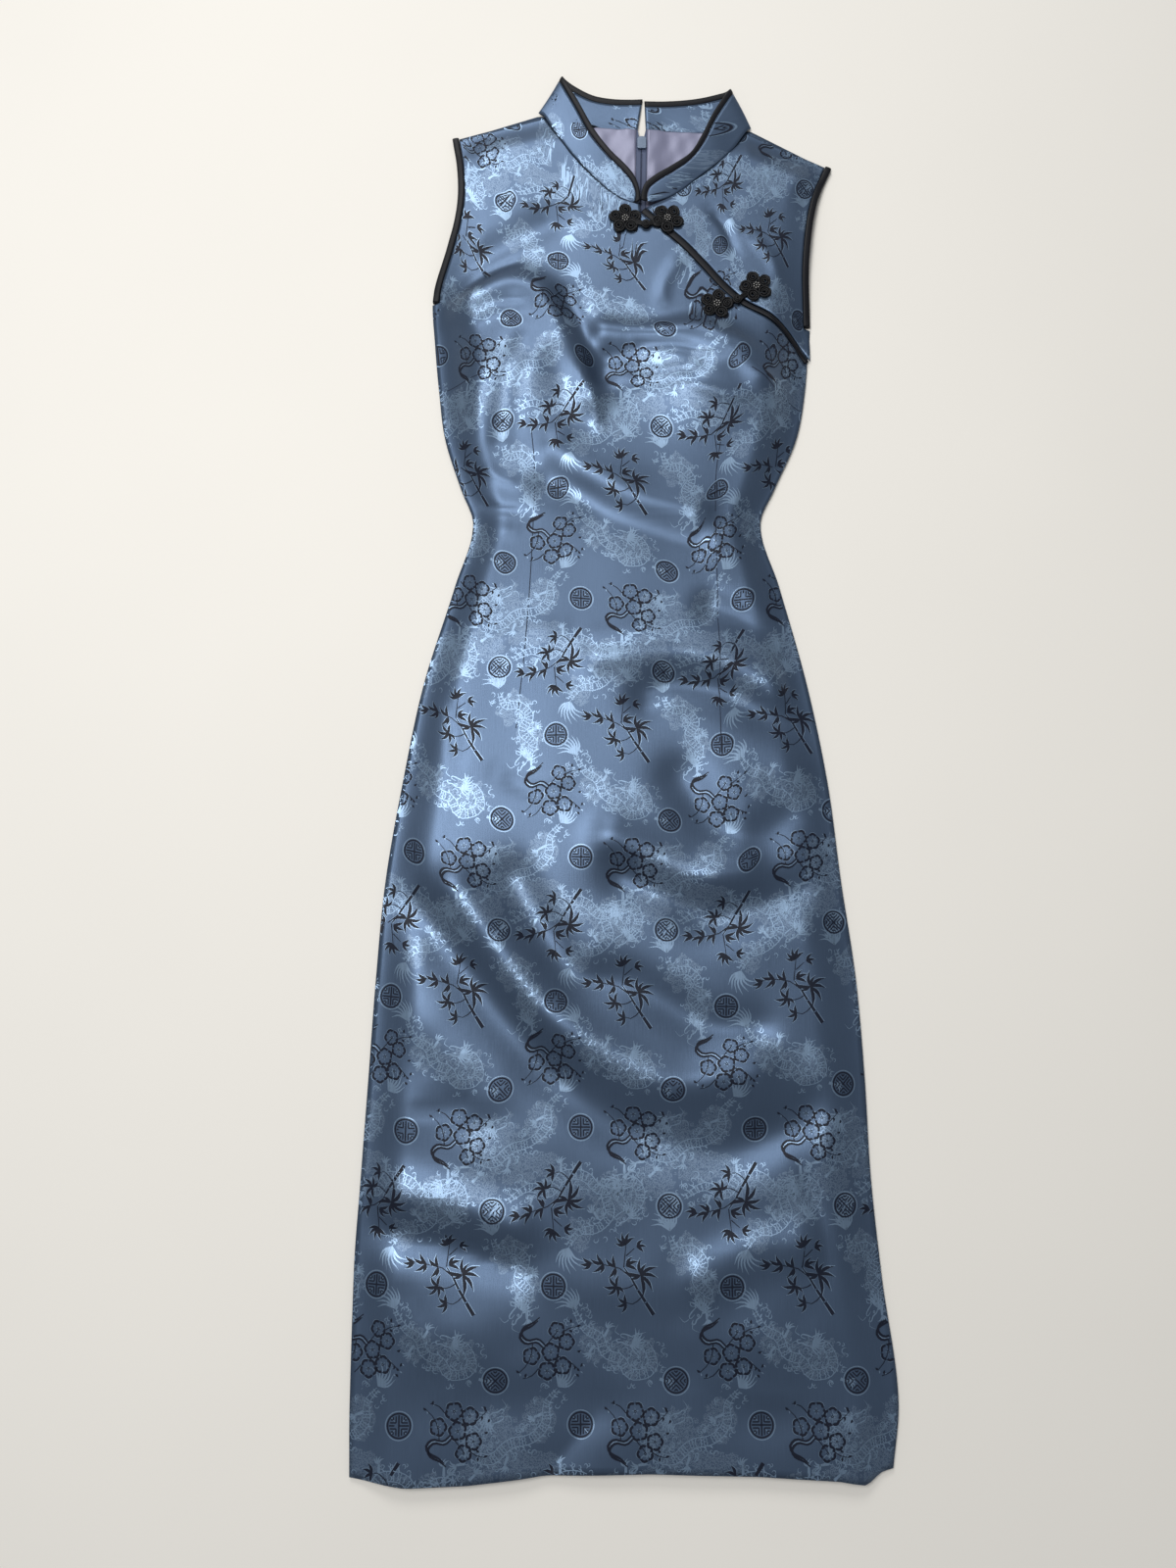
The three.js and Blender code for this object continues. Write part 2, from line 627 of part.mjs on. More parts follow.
// side is -1 for the left back and 1 for the right. neckSeam runs from the neck point to the centre back.
function makeBack(side, outline, armRun, armY, neckSeam) {
  const below = [
    ...outline.filter((p) => p.y < armY - underarmStep),
    ...alongOutline(outline, [armY - underarmStep]),
  ];
  const outer = [...below, ...armRun];
  const rise = armY - underarmStep - below[0].y;
  const seamYs = [
    ...below.map((p) => mix(centreBack.hemY, backTurn, (p.y - below[0].y) / rise)),
    ...evenly(backTurn, backHigh[0], armRows - backHigh.length + 2).slice(1),
    ...backHigh.slice(1),
  ];
  const seam = curveThrough(neckSeam);
  const topEdge = outer[outer.length - 1];
  const topCentre = { x: centreX(centreBack.neckY) + side * halfOpen(centreBack.neckY), y: centreBack.neckY };
  return outer.map((edge, r) => {
    const y = seamYs[r];
    const centre = { x: centreX(y) + side * halfOpen(y), y };
    const pull = smooth((y - pullFrom) / (centreBack.neckY - pullFrom));
    return backColumns.map((u) => {
      const target =
        u < neckPointAt
          ? seam.getPointAt(1 - u / neckPointAt)
          : seam.getPointAt(0).lerp(topEdge, (u - neckPointAt) / (1 - neckPointAt));
      const x = mix(centre.x, edge.x, u) + (target.x - mix(topCentre.x, topEdge.x, u)) * pull;
      const straightY = mix(centre.y, edge.y, u) + (target.y - mix(topCentre.y, topEdge.y, u)) * pull;
      return new THREE.Vector3(x, onHem(x, straightY), 0);
    });
  });
}
const backOf = {
  left: makeBack(-1, leftOutline, leftArmCloth, armhole.leftY, backNeck.left),
  right: makeBack(1, rightOutline, rightArmCloth, armhole.rightY, backNeck.right),
};
for (const [side, grid] of Object.entries(backOf)) {
  addPiece(`back_${side}`, flatWall(grid, 0, clothThickness), "brocade");
}

// ---- Collar halves and their bindings ----

function makeCollar(side, rows, neckEdge, inward) {
  const neckSeam = curveThrough(shiftRun(curveThrough(neckEdge).getSpacedPoints(neckSteps), inward * collarGap));
  const placed = rows.map((row) => {
    if (row.lie === "front") {
      const p = neckSeam.getPointAt(1 - row.neck);
      return { ...row, sx: p.x, sy: p.y, sz: frontHeight(p.x, p.y) - clothThickness / 2 };
    }
    const lift = row.lie === "back" ? tentLift : () => 0;
    return { ...row, sz: row.sz + lift(row.sx, row.sy), tz: row.tz + lift(row.tx, row.ty) };
  });
  const seam = curveThrough(placed, ["sx", "sy", "sz"]);
  const top = curveThrough(placed, ["tx", "ty", "tz"]);
  const stations = evenly(0, 1, collarStations);
  const clothRows = [];
  const bindingRows = [];
  for (const t of stations) {
    const s = seam.getPoint(t);
    const e = top.getPoint(t);
    const width = s.distanceTo(e);
    const clothShare = 1 - boundInset / width;
    if (clothShare * width > leastCollar) {
      clothRows.push(collarColumns.map((v) => s.clone().lerp(e, v * clothShare)));
    }
    bindingRows.push([s.clone().lerp(e, 1 - bindingWidth / width), e]);
  }
  addPiece(`collar_${side}`, middleWall(clothRows, clothThickness), "brocade");
  addPiece(`collar_binding_${side}`, middleWall(bindingRows, bindingThickness), "binding");
}
makeCollar("left", collarLeft, neckLeft, -1);
makeCollar("right", collarRight, neckRight, 1);

// ---- Armhole and placket bindings ----

const backLevel = bindingThickness / 2;
const frontLevel = backLevel + bindingThickness + 2 * seamGap; // lowest middle of the front's binding

// One strip: up the front edge of the armhole, over the shoulder and down the back edge
function makeArmholeBinding(side, run, inward) {
  const inner = shiftRun(run, inward * bindingWidth);
  const level = (p) => Math.max(frontHeight(p.x, p.y) - clothThickness / 2, frontLevel);
  const rows = run.map((p, i) => [
    new THREE.Vector3(inner[i].x, inner[i].y, level(inner[i])),
    new THREE.Vector3(p.x, p.y, level(p)),
  ]);
  const last = rows[rows.length - 1];
  const along = last[1].clone().sub(rows[rows.length - 2][1]).setZ(0).normalize();
  const foldRadius = (frontLevel - backLevel) / 2;
  for (const p of last) p.z = frontLevel;
  for (const angle of foldAngles) {
    rows.push(
      last.map((p) => {
        const q = p.clone().addScaledVector(along, foldRadius * Math.sin(angle));
        q.z = backLevel + foldRadius + foldRadius * Math.cos(angle);
        return q;
      }),
    );
  }
  for (let i = run.length - 1; i >= 0; i--) {
    rows.push([
      new THREE.Vector3(inner[i].x, inner[i].y, backLevel),
      new THREE.Vector3(run[i].x, run[i].y, backLevel),
    ]);
  }
  addPiece(`armhole_binding_${side}`, middleWall(rows, bindingThickness), "binding");
}
makeArmholeBinding("left", leftArm, -1);
makeArmholeBinding("right", rightArm, 1);

function makePlacketBinding() {
  const edges = [bindingWidth / 2, -bindingWidth / 2].map((shift) => shiftRun(diagonalRun, shift));
  const rows = edges[0].map((p, i) =>
    [p, edges[1][i]].map((q) => new THREE.Vector3(q.x, q.y, frontHeight(q.x, q.y) - clothThickness / 2)),
  );
  addPiece("placket_binding", middleWall(rows, bindingThickness), "binding");
}
makePlacketBinding();

// ---- Back neck lining and zip tapes, on the inside of the backs ----

const insideLevel = clothThickness + seamGap;
for (const [side, sign] of [["left", -1], ["right", 1]]) {
  const liningRows = [];
  for (const row of lining) {
    const edge = centreX(row.y) + sign * (zip.tapeWidth / 2 + seamGap);
    const outer = row[side];
    liningRows.push(
      evenly(edge, outer.x, liningColumns).map(
        (x, c) => new THREE.Vector3(x, mix(row.y, outer.y, c / (liningColumns - 1)), 0),
      ),
    );
  }
  addPiece(`neck_lining_${side}`, flatWall(liningRows, insideLevel, tapeThickness), "lining");
  const tapeRows = tapeYs.map((y) =>
    [halfOpen(y), zip.tapeWidth / 2].map((off) => new THREE.Vector3(centreX(y) + sign * off, y, 0)),
  );
  addPiece(`zip_tape_${side}`, flatWall(tapeRows, insideLevel, tapeThickness), "tape");
}

// ---- Zip slider and pull tab ----

const wasm = await Module();
wasm.setup();

function toManifold(geometry) {
  const bare = geometry.clone();
  bare.deleteAttribute("normal");
  bare.deleteAttribute("uv");
  const merged = mergeVertices(bare, 1e-4);
  const vertProperties = new Float32Array(merged.attributes.position.array);
  const triVerts = new Uint32Array(merged.index.array);
  return new wasm.Manifold(new wasm.Mesh({ numProp: 3, vertProperties, triVerts }));
}

function fromManifold(solid) {
  const mesh = solid.getMesh();
  const geometry = new THREE.BufferGeometry();
  geometry.setAttribute("position", new THREE.Float32BufferAttribute(mesh.vertProperties, 3));
  geometry.setIndex(Array.from(mesh.triVerts));
  geometry.computeVertexNormals();
  return geometry;
}

function block(x, y, z, centre) {
  return new THREE.BoxGeometry(x, y, z).translate(centre.x, centre.y, centre.z);
}

// A plate with its outline in X and Y, from z up by thickness
function plate(outline, thickness, holes = []) {
  const shape = new THREE.Shape(outline.map(([x, y]) => new THREE.Vector2(x, y)));
  for (const hole of holes) shape.holes.push(new THREE.Path(hole.map(([x, y]) => new THREE.Vector2(x, y))));
  return new THREE.ExtrudeGeometry(shape, { depth: thickness, bevelEnabled: false });
}

const hingeX = centreX(tab.hingeY);
const sliderBase = tent.lift + clothThickness + tapeThickness + 3 * seamGap;

function makeSlider() {
  const { width, length, height, shoulder, nose } = slider;
  const half = width / 2;
  const body = plate(
    [
      [-half, -length + nose],
      [-half + nose, -length],
      [half - nose, -length],
      [half, -length + nose],
      [half, -shoulder],
      [half - shoulder, 0],
      [-half + shoulder, 0],
      [-half, -shoulder],
    ],
    height,
  ).translate(hingeX, tab.hingeY + slider.ahead, sliderBase);
  const { neck, legThickness, reach, barThickness } = bridge;
  const top = sliderBase + height / 2;
  const roof = tab.hingeZ + bridge.headroom;
  const bottom = tab.hingeZ - bridge.headroom - barThickness;
  const pieces = [
    block(neck, 2 * reach, top - roof, { x: hingeX, y: tab.hingeY, z: (top + roof) / 2 }),
    block(neck, 2 * reach, barThickness, { x: hingeX, y: tab.hingeY, z: bottom + barThickness / 2 }),
  ];
  for (const end of [-1, 1]) {
    const y = tab.hingeY + end * (reach - legThickness / 2);
    pieces.push(block(neck, legThickness, top - bottom, { x: hingeX, y, z: (top + bottom) / 2 }));
  }
  const joined = pieces.reduce((solid, piece) => solid.add(toManifold(piece)), toManifold(body));
  addPiece("zip_slider", fromManifold(joined), "slider");
}
makeSlider();

// The tab is a plate whose eye goes round the slider's bridge; its top bar is the hinge
function makeTab() {
  const half = tab.width / 2;
  const eyeHalf = half - tab.armWidth;
  const bar = tab.pinWidth / 2;
  const end = half + tab.flare;
  const outline = [
    [-half, bar],
    [-half, -tab.waist],
    [-end, -tab.length + tab.round],
    [-end + tab.round, -tab.length],
    [end - tab.round, -tab.length],
    [end, -tab.length + tab.round],
    [half, -tab.waist],
    [half, bar],
  ];
  const eye = [
    [-eyeHalf, -bar],
    [eyeHalf, -bar],
    [eyeHalf, -tab.eyeLength],
    [-eyeHalf, -tab.eyeLength],
  ];
  const geometry = plate(outline, tab.thickness, [eye]);
  const mesh = addPiece("pull_tab", geometry, "slider");
  mesh.position.set(hingeX, tab.hingeY, tab.hingeZ - tab.thickness / 2);
}
makeTab();

// ---- Frog fastenings, lying on the front ----

const cordBase = bindingThickness / 2 - clothThickness / 2 + layGap; // above the front's top

// A round piece on the front: rings of [share of radius, height above its base]
function domed(centre, radiusAt, rings, steps) {
  const base = (x, y) => frontHeight(x, y) + cordBase;
  const layer = (raised) => {
    const points = [new THREE.Vector3(centre.x, centre.y, base(centre.x, centre.y) + (raised ? rings[0][1] : 0))];
    for (const [share, height] of rings.slice(1)) {
      for (let i = 0; i < steps; i++) {
        const angle = (2 * Math.PI * i) / steps;
        const x = centre.x + Math.cos(angle) * radiusAt(angle) * share;
        const y = centre.y + Math.sin(angle) * radiusAt(angle) * share;
        points.push(new THREE.Vector3(x, y, base(x, y) + (raised ? height : 0)));
      }
    }
    return points;
  };
  const points = [...layer(true), ...layer(false)];
  const perLayer = points.length / 2;
  const faces = [];
  const at = (low, ring, i) => low * perLayer + 1 + (ring - 1) * steps + (i % steps);
  for (let i = 0; i < steps; i++) {
    faces.push(0, at(0, 1, i), at(0, 1, i + 1));
    faces.push(perLayer, at(1, 1, i + 1), at(1, 1, i));
    for (let ring = 2; ring < rings.length; ring++) {
      faces.push(at(0, ring - 1, i), at(0, ring, i), at(0, ring, i + 1));
      faces.push(at(0, ring - 1, i), at(0, ring, i + 1), at(0, ring - 1, i + 1));
      faces.push(at(1, ring - 1, i), at(1, ring, i + 1), at(1, ring, i));
      faces.push(at(1, ring - 1, i), at(1, ring - 1, i + 1), at(1, ring, i + 1));
    }
    const rim = rings.length - 1;
    faces.push(at(0, rim, i), at(1, rim, i), at(1, rim, i + 1));
    faces.push(at(0, rim, i), at(1, rim, i + 1), at(0, rim, i + 1));
  }
  const geometry = new THREE.BufferGeometry();
  geometry.setAttribute("position", new THREE.Float32BufferAttribute(points.flatMap((p) => [p.x, p.y, p.z]), 3));
  geometry.setIndex(faces);
  return pointOut(geometry);
}

function petalRadius(turn) {
  const { radius, petals, petalDepth } = flower;
  return (angle) => radius * (1 - petalDepth * (1 - Math.abs(Math.cos((petals / 2) * (angle - turn)))));
}

// A flat cord lying on the front from one point to another
function cordBar(from, to) {
  const line = new THREE.Vector3(to.x - from.x, to.y - from.y, 0);
  const sideways = new THREE.Vector3(-line.y, line.x, 0).normalize();
  const grid = (height) =>
    evenly(0, 1, cord.stations).map((t) =>
      [0.5, -0.5].map((half) => {
        const x = mix(from.x, to.x, t) + sideways.x * cord.width * half;
        const y = mix(from.y, to.y, t) + sideways.y * cord.width * half;
        return new THREE.Vector3(x, y, frontHeight(x, y) + cordBase + height);
      }),
    );
  return bodyBetween(grid(cord.height), grid(0));
}

// The point at a distance from a, on the way to b
function towards(a, b, distance) {
  const length = Math.hypot(b.x - a.x, b.y - a.y);
  return { x: mix(a.x, b.x, distance / length), y: mix(a.y, b.y, distance / length) };
}

for (const frog of frogs) {
  for (const side of ["left", "right"]) {
    const at = frog[side];
    addPiece(`${frog.name}_flower_${side}`, domed(at, petalRadius(at.turn), flower.rings, flower.steps), "cord");
    const name = side === "left" ? "stem" : "loop";
    const start = towards(at, frog.knot, flower.radius + seamGap);
    const end = towards(frog.knot, at, knot.radius + seamGap);
    addPiece(`${frog.name}_${name}`, cordBar(start, end), "cord");
  }
  addPiece(`${frog.name}_knot`, domed(frog.knot, () => knot.radius, knot.rings, knot.steps), "cord");
}

export default dress;
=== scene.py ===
# A long sleeveless cheongsam of satin brocade, laid flat with its front up.
# The frame is in metres. The garment's own tables are in millimetres, and are turned to
# metres where a mesh is made. +Z is up, +Y points to the neck.
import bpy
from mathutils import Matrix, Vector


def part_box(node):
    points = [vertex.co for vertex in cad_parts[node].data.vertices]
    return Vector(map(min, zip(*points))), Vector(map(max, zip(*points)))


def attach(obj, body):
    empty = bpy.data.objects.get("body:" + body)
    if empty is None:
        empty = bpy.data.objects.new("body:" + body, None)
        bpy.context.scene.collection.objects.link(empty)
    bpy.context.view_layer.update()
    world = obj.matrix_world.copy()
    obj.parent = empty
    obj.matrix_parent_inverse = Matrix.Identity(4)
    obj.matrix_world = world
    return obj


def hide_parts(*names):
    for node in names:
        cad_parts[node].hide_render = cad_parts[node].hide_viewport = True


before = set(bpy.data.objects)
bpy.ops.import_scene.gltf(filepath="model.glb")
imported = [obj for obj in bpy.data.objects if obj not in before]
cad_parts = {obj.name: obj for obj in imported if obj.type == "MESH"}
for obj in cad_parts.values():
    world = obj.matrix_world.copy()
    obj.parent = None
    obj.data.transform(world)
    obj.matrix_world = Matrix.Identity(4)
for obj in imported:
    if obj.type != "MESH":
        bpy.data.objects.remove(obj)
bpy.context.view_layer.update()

import math
import bmesh
import bpy
import numpy as np
from mathutils import Vector

mm = 0.001
dressBody = "dress"

# The view: straight down but for a small tilt towards the neck
view = {"x": -0.030, "y": -0.2435, "height": 1.055, "tilt": 9.5, "frameHeight": 1600, "focal": 1202}


def makeCamera():
    data = bpy.data.cameras.new("camera")
    data.sensor_fit = "VERTICAL"
    data.sensor_height = 24
    data.lens = data.sensor_height * view["focal"] / view["frameHeight"]
    camera = bpy.data.objects.new("camera", data)
    camera.location = (view["x"], view["y"], view["height"])
    camera.rotation_euler = (math.radians(view["tilt"]), 0, 0)
    bpy.context.collection.objects.link(camera)
    bpy.context.scene.camera = camera


makeCamera()
print("camera placed")

# Outlines from the hem up: side seam, armhole, shoulder tip (millimetres)
leftOutline = [
    (-227, -647), (-228.5, -590), (-228.5, -489), (-225, -409), (-221, -327), (-217, -242),
    (-211, -156), (-198, -67), (-181, 25), (-154, 119), (-138, 181), (-150, 215),
    (-166, 265), (-173, 315), (-178, 365), (-181, 407), (-168, 461), (-161, 490),
    (-158, 520), (-160, 553), (-165, 583),
]
rightOutline = [
    (222, -640), (228.5, -590), (218.5, -489), (212.5, -409), (210.5, -327), (206, -242),
    (196, -156), (187, -67), (171, 25), (148, 119), (132, 181), (146, 215),
    (168, 265), (178, 315), (181, 342), (185, 381), (184.5, 428), (187, 465),
    (191, 492), (198, 520), (211, 550),
]
diagonal = [
    (181, 344), (168, 361), (154.5, 374), (134.5, 389), (116, 400), (97, 420),
    (76, 447), (55.5, 470), (38, 486), (24, 500),
]
neckLeft = [
    (20, 506.5), (1, 513.5), (-24, 535.5), (-48, 564.5), (-63, 588), (-75, 609),
]
neckRight = [
    (26, 506.5), (52, 515), (74, 532), (97, 551.5), (115, 571), (128, 591),
]
hemLine = [
    (-227, -647), (-180, -653), (-130, -651), (-67, -644), (22, -642), (110, -644),
    (177, -648), (199, -652), (211, -643), (222, -640),
]
lie = [
    (-655, 10, 40), (-560, 11.5, 40), (-400, 13, 42), (-100, 13.5, 42),
    (60, 13.5, 36), (181, 12.5, 30), (270, 17, 40), (350, 20, 45),
    (420, 17, 40), (490, 12, 34), (560, 10, 30), (615, 9, 30),
]


cloth = {"wall": 1.2, "binding": 6.5, "bindingWall": 1.8, "gap": 0.3, "layGap": 0.6}
armhole = {"leftY": 407, "rightY": 381, "lift": 7, "step": 3}
shoulders = {"left": (-75, 609, -165, 583), "right": (128, 591, 211, 550), "roll": 34}
centreBack = {"neckX": 23.5, "neckY": 594, "hemX": 0, "hemY": -642}
tent = {"halfWidth": 7, "fade": 14, "lift": 2.3, "bottom": 548, "top": 590, "spread": 5.5}
zipSizes = {"openFrom": 575, "openWidth": 8.2, "tape": 10, "bottom": 60}
counts = {"skirt": 25, "bust": 10, "underarm": 3, "diagonal": 9, "neck": 9, "arm": 15}
waistY, hemFade, seamHeight = 190, 60, 2.7

# Bust cups: middle, half width and half length, height
cups = [(-92, 338, 58, 50, 15), (92, 322, 64, 46, 15)]

# The largest folds: a ridge, or a trough where height is negative, along a soft line
folds = [
    {"part": "bust", "width": 17, "height": 8,
     "line": [(-165, 388), (-101, 416), (-67, 398), (-45, 355), (-28, 300)]},
    {"part": "bust", "width": 13, "height": -9,
     "line": [(-52, 400), (-38, 366), (-18, 322)]},
    {"part": "bust", "width": 13, "height": 7,
     "line": [(-14, 366), (29, 363), (77, 367), (105, 352), (133, 318)]},
    {"part": "bust", "width": 14, "height": -7,
     "line": [(-8, 338), (30, 330), (66, 330)]},
    {"part": "chest", "width": 18, "height": -4,
     "line": [(-150, 425), (-125, 452), (-70, 486)]},
    {"part": "dart", "width": 13, "height": -8,
     "line": [(-112, 262), (-106, 312), (-90, 352)]},
    {"part": "waist", "width": 16, "height": -4,
     "line": [(-66, 216), (-38, 203), (-12, 184), (26, 168), (68, 154)]},
    {"part": "waist", "width": 16, "height": 5,
     "line": [(-60, 250), (-20, 224), (20, 204), (70, 190)]},
    {"part": "hip", "width": 15, "height": -4,
     "line": [(84, 96), (112, 84), (150, 58), (168, 14)]},
    {"part": "hip", "width": 16, "height": -4,
     "line": [(24, 14), (44, 22), (82, 17), (118, 2), (176, -32)]},
    {"part": "hip", "width": 17, "height": 4,
     "line": [(-20, 50), (40, 56), (96, 46), (140, 20)]},
    {"part": "hip", "width": 20, "height": -4,
     "line": [(54, -64), (82, -105), (112, -122), (150, -100)]},
    {"part": "skirt", "width": 20, "height": 5,
     "line": [(-8, -118), (30, -140), (64, -152), (104, -146)]},
    {"part": "skirt", "width": 20, "height": -4.5,
     "line": [(3, -150), (43, -166), (77, -186), (112, -180), (158, -165)]},
    {"part": "skirt", "width": 20, "height": -4.5,
     "line": [(-96, -156), (-70, -200), (-39, -240), (9, -248), (75, -282), (112, -285)]},
    {"part": "skirt", "width": 22, "height": 6,
     "line": [(-150, -160), (-112, -214), (-74, -262), (-24, -300), (46, -330), (112, -318)]},
    {"part": "skirt", "width": 22, "height": -4.5,
     "line": [(-186, -176), (-142, -224), (-104, -272), (-50, -334), (10, -372), (90, -386), (158, -352)]},
    {"part": "hem", "width": 18, "height": 3,
     "line": [(-206, -420), (-150, -430), (-92, -448)]},
    {"part": "hem", "width": 18, "height": -3,
     "line": [(-210, -452), (-150, -466), (-92, -478)]},
    {"part": "hem", "width": 18, "height": 3,
     "line": [(66, -488), (104, -470), (146, -462)]},
    {"part": "hem", "width": 18, "height": -1.6,
     "line": [(-62, -636), (-42, -616), (-22, -594)]},
]

# Collar halves from the centre back round to the centre front: the seam's x, y, z and the top
# edge's x, y, z, or in front the share along the neck seam and the top edge
collarLeft = [
    ("back", 19.3, 594.6, 0.9, 24.8, 630.6, 0.9),
    ("back", 7, 595.3, 0.9, 14, 630.2, 0.9),
    ("back", -11, 596.6, 0.9, -6, 631, 0.9),
    ("back", -30, 599.4, 0.9, -25, 635, 0.9),
    ("back", -52, 604.6, 0.9, -43, 645, 0.9),
    ("back", -70, 610.2, 0.9, -51.5, 651.5, 1.2),
    ("fold", -77.6, 613.2, 1.3, -54.6, 654, 2.3),
    ("fold", -79, 613.2, 3, -55.6, 654.2, 3.6),
    ("fold", -75.6, 611, 4.4, -54.4, 651, 5.8),
    ("front", 0.18, -39.6, 621.5, 9.5),
    ("front", 0.38, -24.4, 589.4, 12),
    ("front", 0.64, -8, 564.2, 14),
    ("front", 0.78, 7, 547.4, 14.6),
    ("front", 0.88, 15, 536.5, 14.4),
    ("front", 0.93, 19.2, 526.5, 13.8),
    ("front", 0.945, 20.9, 518, 13),
    ("front", 0.965, 21.2, 511, 12.2),
]
collarRight = [
    ("back", 27.7, 594.5, 0.9, 26.6, 628.4, 0.9),
    ("back", 46, 594.2, 0.9, 46, 628.2, 0.9),
    ("back", 68.6, 592.4, 0.9, 68, 629.6, 0.9),
    ("back", 88, 592, 0.9, 84, 632, 0.9),
    ("back", 106, 593, 0.9, 99, 635.8, 0.9),
    ("back", 123, 595, 0.9, 108.6, 638.6, 1.2),
    ("fold", 131, 596.2, 1.3, 111.6, 640, 2.3),
    ("fold", 132.2, 595.8, 3, 112.6, 640, 3.6),
    ("fold", 128.8, 593, 4.4, 110.6, 636.6, 5.8),
    ("front", 0.18, 94.6, 609, 9.5),
    ("front", 0.36, 82, 581, 12),
    ("front", 0.58, 71, 561.4, 14),
    ("front", 0.71, 52.6, 547.2, 14.6),
    ("front", 0.81, 35.6, 536.4, 14.4),
    ("front", 0.88, 25.6, 527.5, 13.8),
    ("front", 0.93, 22.2, 517.5, 13),
    ("front", 0.95, 21.8, 511, 12.2),
]

# Fine creases laid over the large folds
creases = [
    {"width": 5, "height": 1.6, "line": [(-150, 372), (-120, 388), (-88, 392)]},
    {"width": 6, "height": -2.2, "line": [(-160, 402), (-124, 430), (-92, 446)]},
    {"width": 5, "height": 1.8, "line": [(-40, 330), (-26, 300), (-20, 270)]},
    {"width": 6, "height": -2.4, "line": [(10, 352), (50, 350), (92, 338)]},
    {"width": 5, "height": 1.8, "line": [(60, 312), (92, 300), (128, 296)]},
    {"width": 6, "height": -2.0, "line": [(100, 352), (128, 330), (150, 318)]},
    {"width": 5, "height": 1.5, "line": [(-130, 236), (-112, 222), (-94, 216)]},
    {"width": 5, "height": -2.2, "line": [(-136, 200), (-112, 190), (-88, 186)]},
    {"width": 4, "height": 2.0, "line": [(-134, 186), (-118, 176), (-98, 172)]},
    {"width": 5, "height": -2.2, "line": [(128, 192), (106, 186), (80, 190)]},
    {"width": 4, "height": 1.8, "line": [(126, 176), (104, 170), (82, 160)]},
    {"width": 6, "height": 1.6, "line": [(60, 448), (44, 420), (40, 396)]},
    {"width": 5, "height": -1.6, "line": [(90, 502), (104, 480), (112, 452)]},
    {"width": 6, "height": 1.4, "line": [(130, 470), (150, 440), (158, 412)]},
    {"width": 7, "height": -1.8, "line": [(-155, 9), (-151, -20), (-149, -48)]},
    {"width": 7, "height": 1.6, "line": [(-120, 60), (-90, 74), (-56, 76)]},
    {"width": 8, "height": -1.6, "line": [(-110, -60), (-70, -78), (-30, -74)]},
    {"width": 7, "height": -1.6, "line": [(122, -61), (142, -70), (162, -75)]},
    {"width": 3.5, "height": -1.0, "line": [(-186, -354), (-158, -352), (-131, -347)]},
    {"width": 3.5, "height": 0.9, "line": [(-221, -440), (-150, -452), (-96, -470)]},
    {"width": 3, "height": -1.1, "line": [(-221, -449), (-150, -460), (-96, -479)]},
    {"width": 3.5, "height": -1.0, "line": [(71, -480), (104, -474), (136, -465)]},
    {"width": 6, "height": -1.4, "line": [(150, -400), (166, -440), (172, -490)]},
    {"width": 6, "height": 1.2, "line": [(-180, -520), (-150, -560), (-140, -610)]},
    {"width": 3, "height": -1.2, "line": [(-61, -640), (-42, -618), (-24, -598)]},
    {"width": 6, "height": 1.2, "line": [(60, -560), (100, -580), (150, -584)]},
    {"width": 26, "height": 4.0, "line": [(-190, -500), (-150, -530), (-90, -545)]},
    {"width": 24, "height": -3.5, "line": [(-150, -580), (-80, -590), (0, -570)]},
    {"width": 24, "height": 3.5, "line": [(40, -520), (90, -540), (150, -520)]},
    {"width": 22, "height": -3.0, "line": [(60, -580), (120, -600), (170, -580)]},
    {"width": 22, "height": 3.0, "line": [(-60, -470), (-10, -500), (50, -480)]},
    {"width": 18, "height": -2.5, "line": [(-170, -330), (-130, -360), (-90, -372)]},
    {"width": 20, "height": 3.0, "line": [(-190, -250), (-150, -300), (-120, -330)]},
    {"width": 18, "height": 2.5, "line": [(90, -330), (130, -350), (170, -335)]},
]

# The large folds of the skirt are a little deeper than the solid's
foldStrength = {"skirt": 1.6, "hip": 1.5, "hem": 2.0, "dart": 0.45, "bust": 0.85}


# Curves and heights
def lookUp(rows, column, at):
    return np.interp(at, [row[0] for row in rows], [row[column] for row in rows])


def softLine(table):
    # x for any y along an outline, rounded at its points
    ys = np.array([y for x, y in table], float)
    xs = np.array([x for x, y in table], float)
    slopes = np.gradient(xs, ys)
    steps = np.diff(xs) / np.diff(ys)
    for i in range(1, len(steps)):  # flat at a turning point, so that it doesn't overshoot
        if steps[i - 1] * steps[i] <= 0:
            slopes[i] *= 0.25

    def at(y):
        y = np.clip(y, ys[0], ys[-1])
        i = np.clip(np.searchsorted(ys, y) - 1, 0, len(ys) - 2)
        h = ys[i + 1] - ys[i]
        t = (y - ys[i]) / h
        return (xs[i] * (1 + 2 * t) * (1 - t) ** 2 + slopes[i] * h * t * (1 - t) ** 2
                + xs[i + 1] * t * t * (3 - 2 * t) + slopes[i + 1] * h * t * t * (t - 1))
    return at


leftX, rightX = softLine(leftOutline), softLine(rightOutline)


def smooth(t):
    t = np.clip(t, 0, 1)
    return t * t * (3 - 2 * t)


def mix(a, b, t):
    return a + (b - a) * t


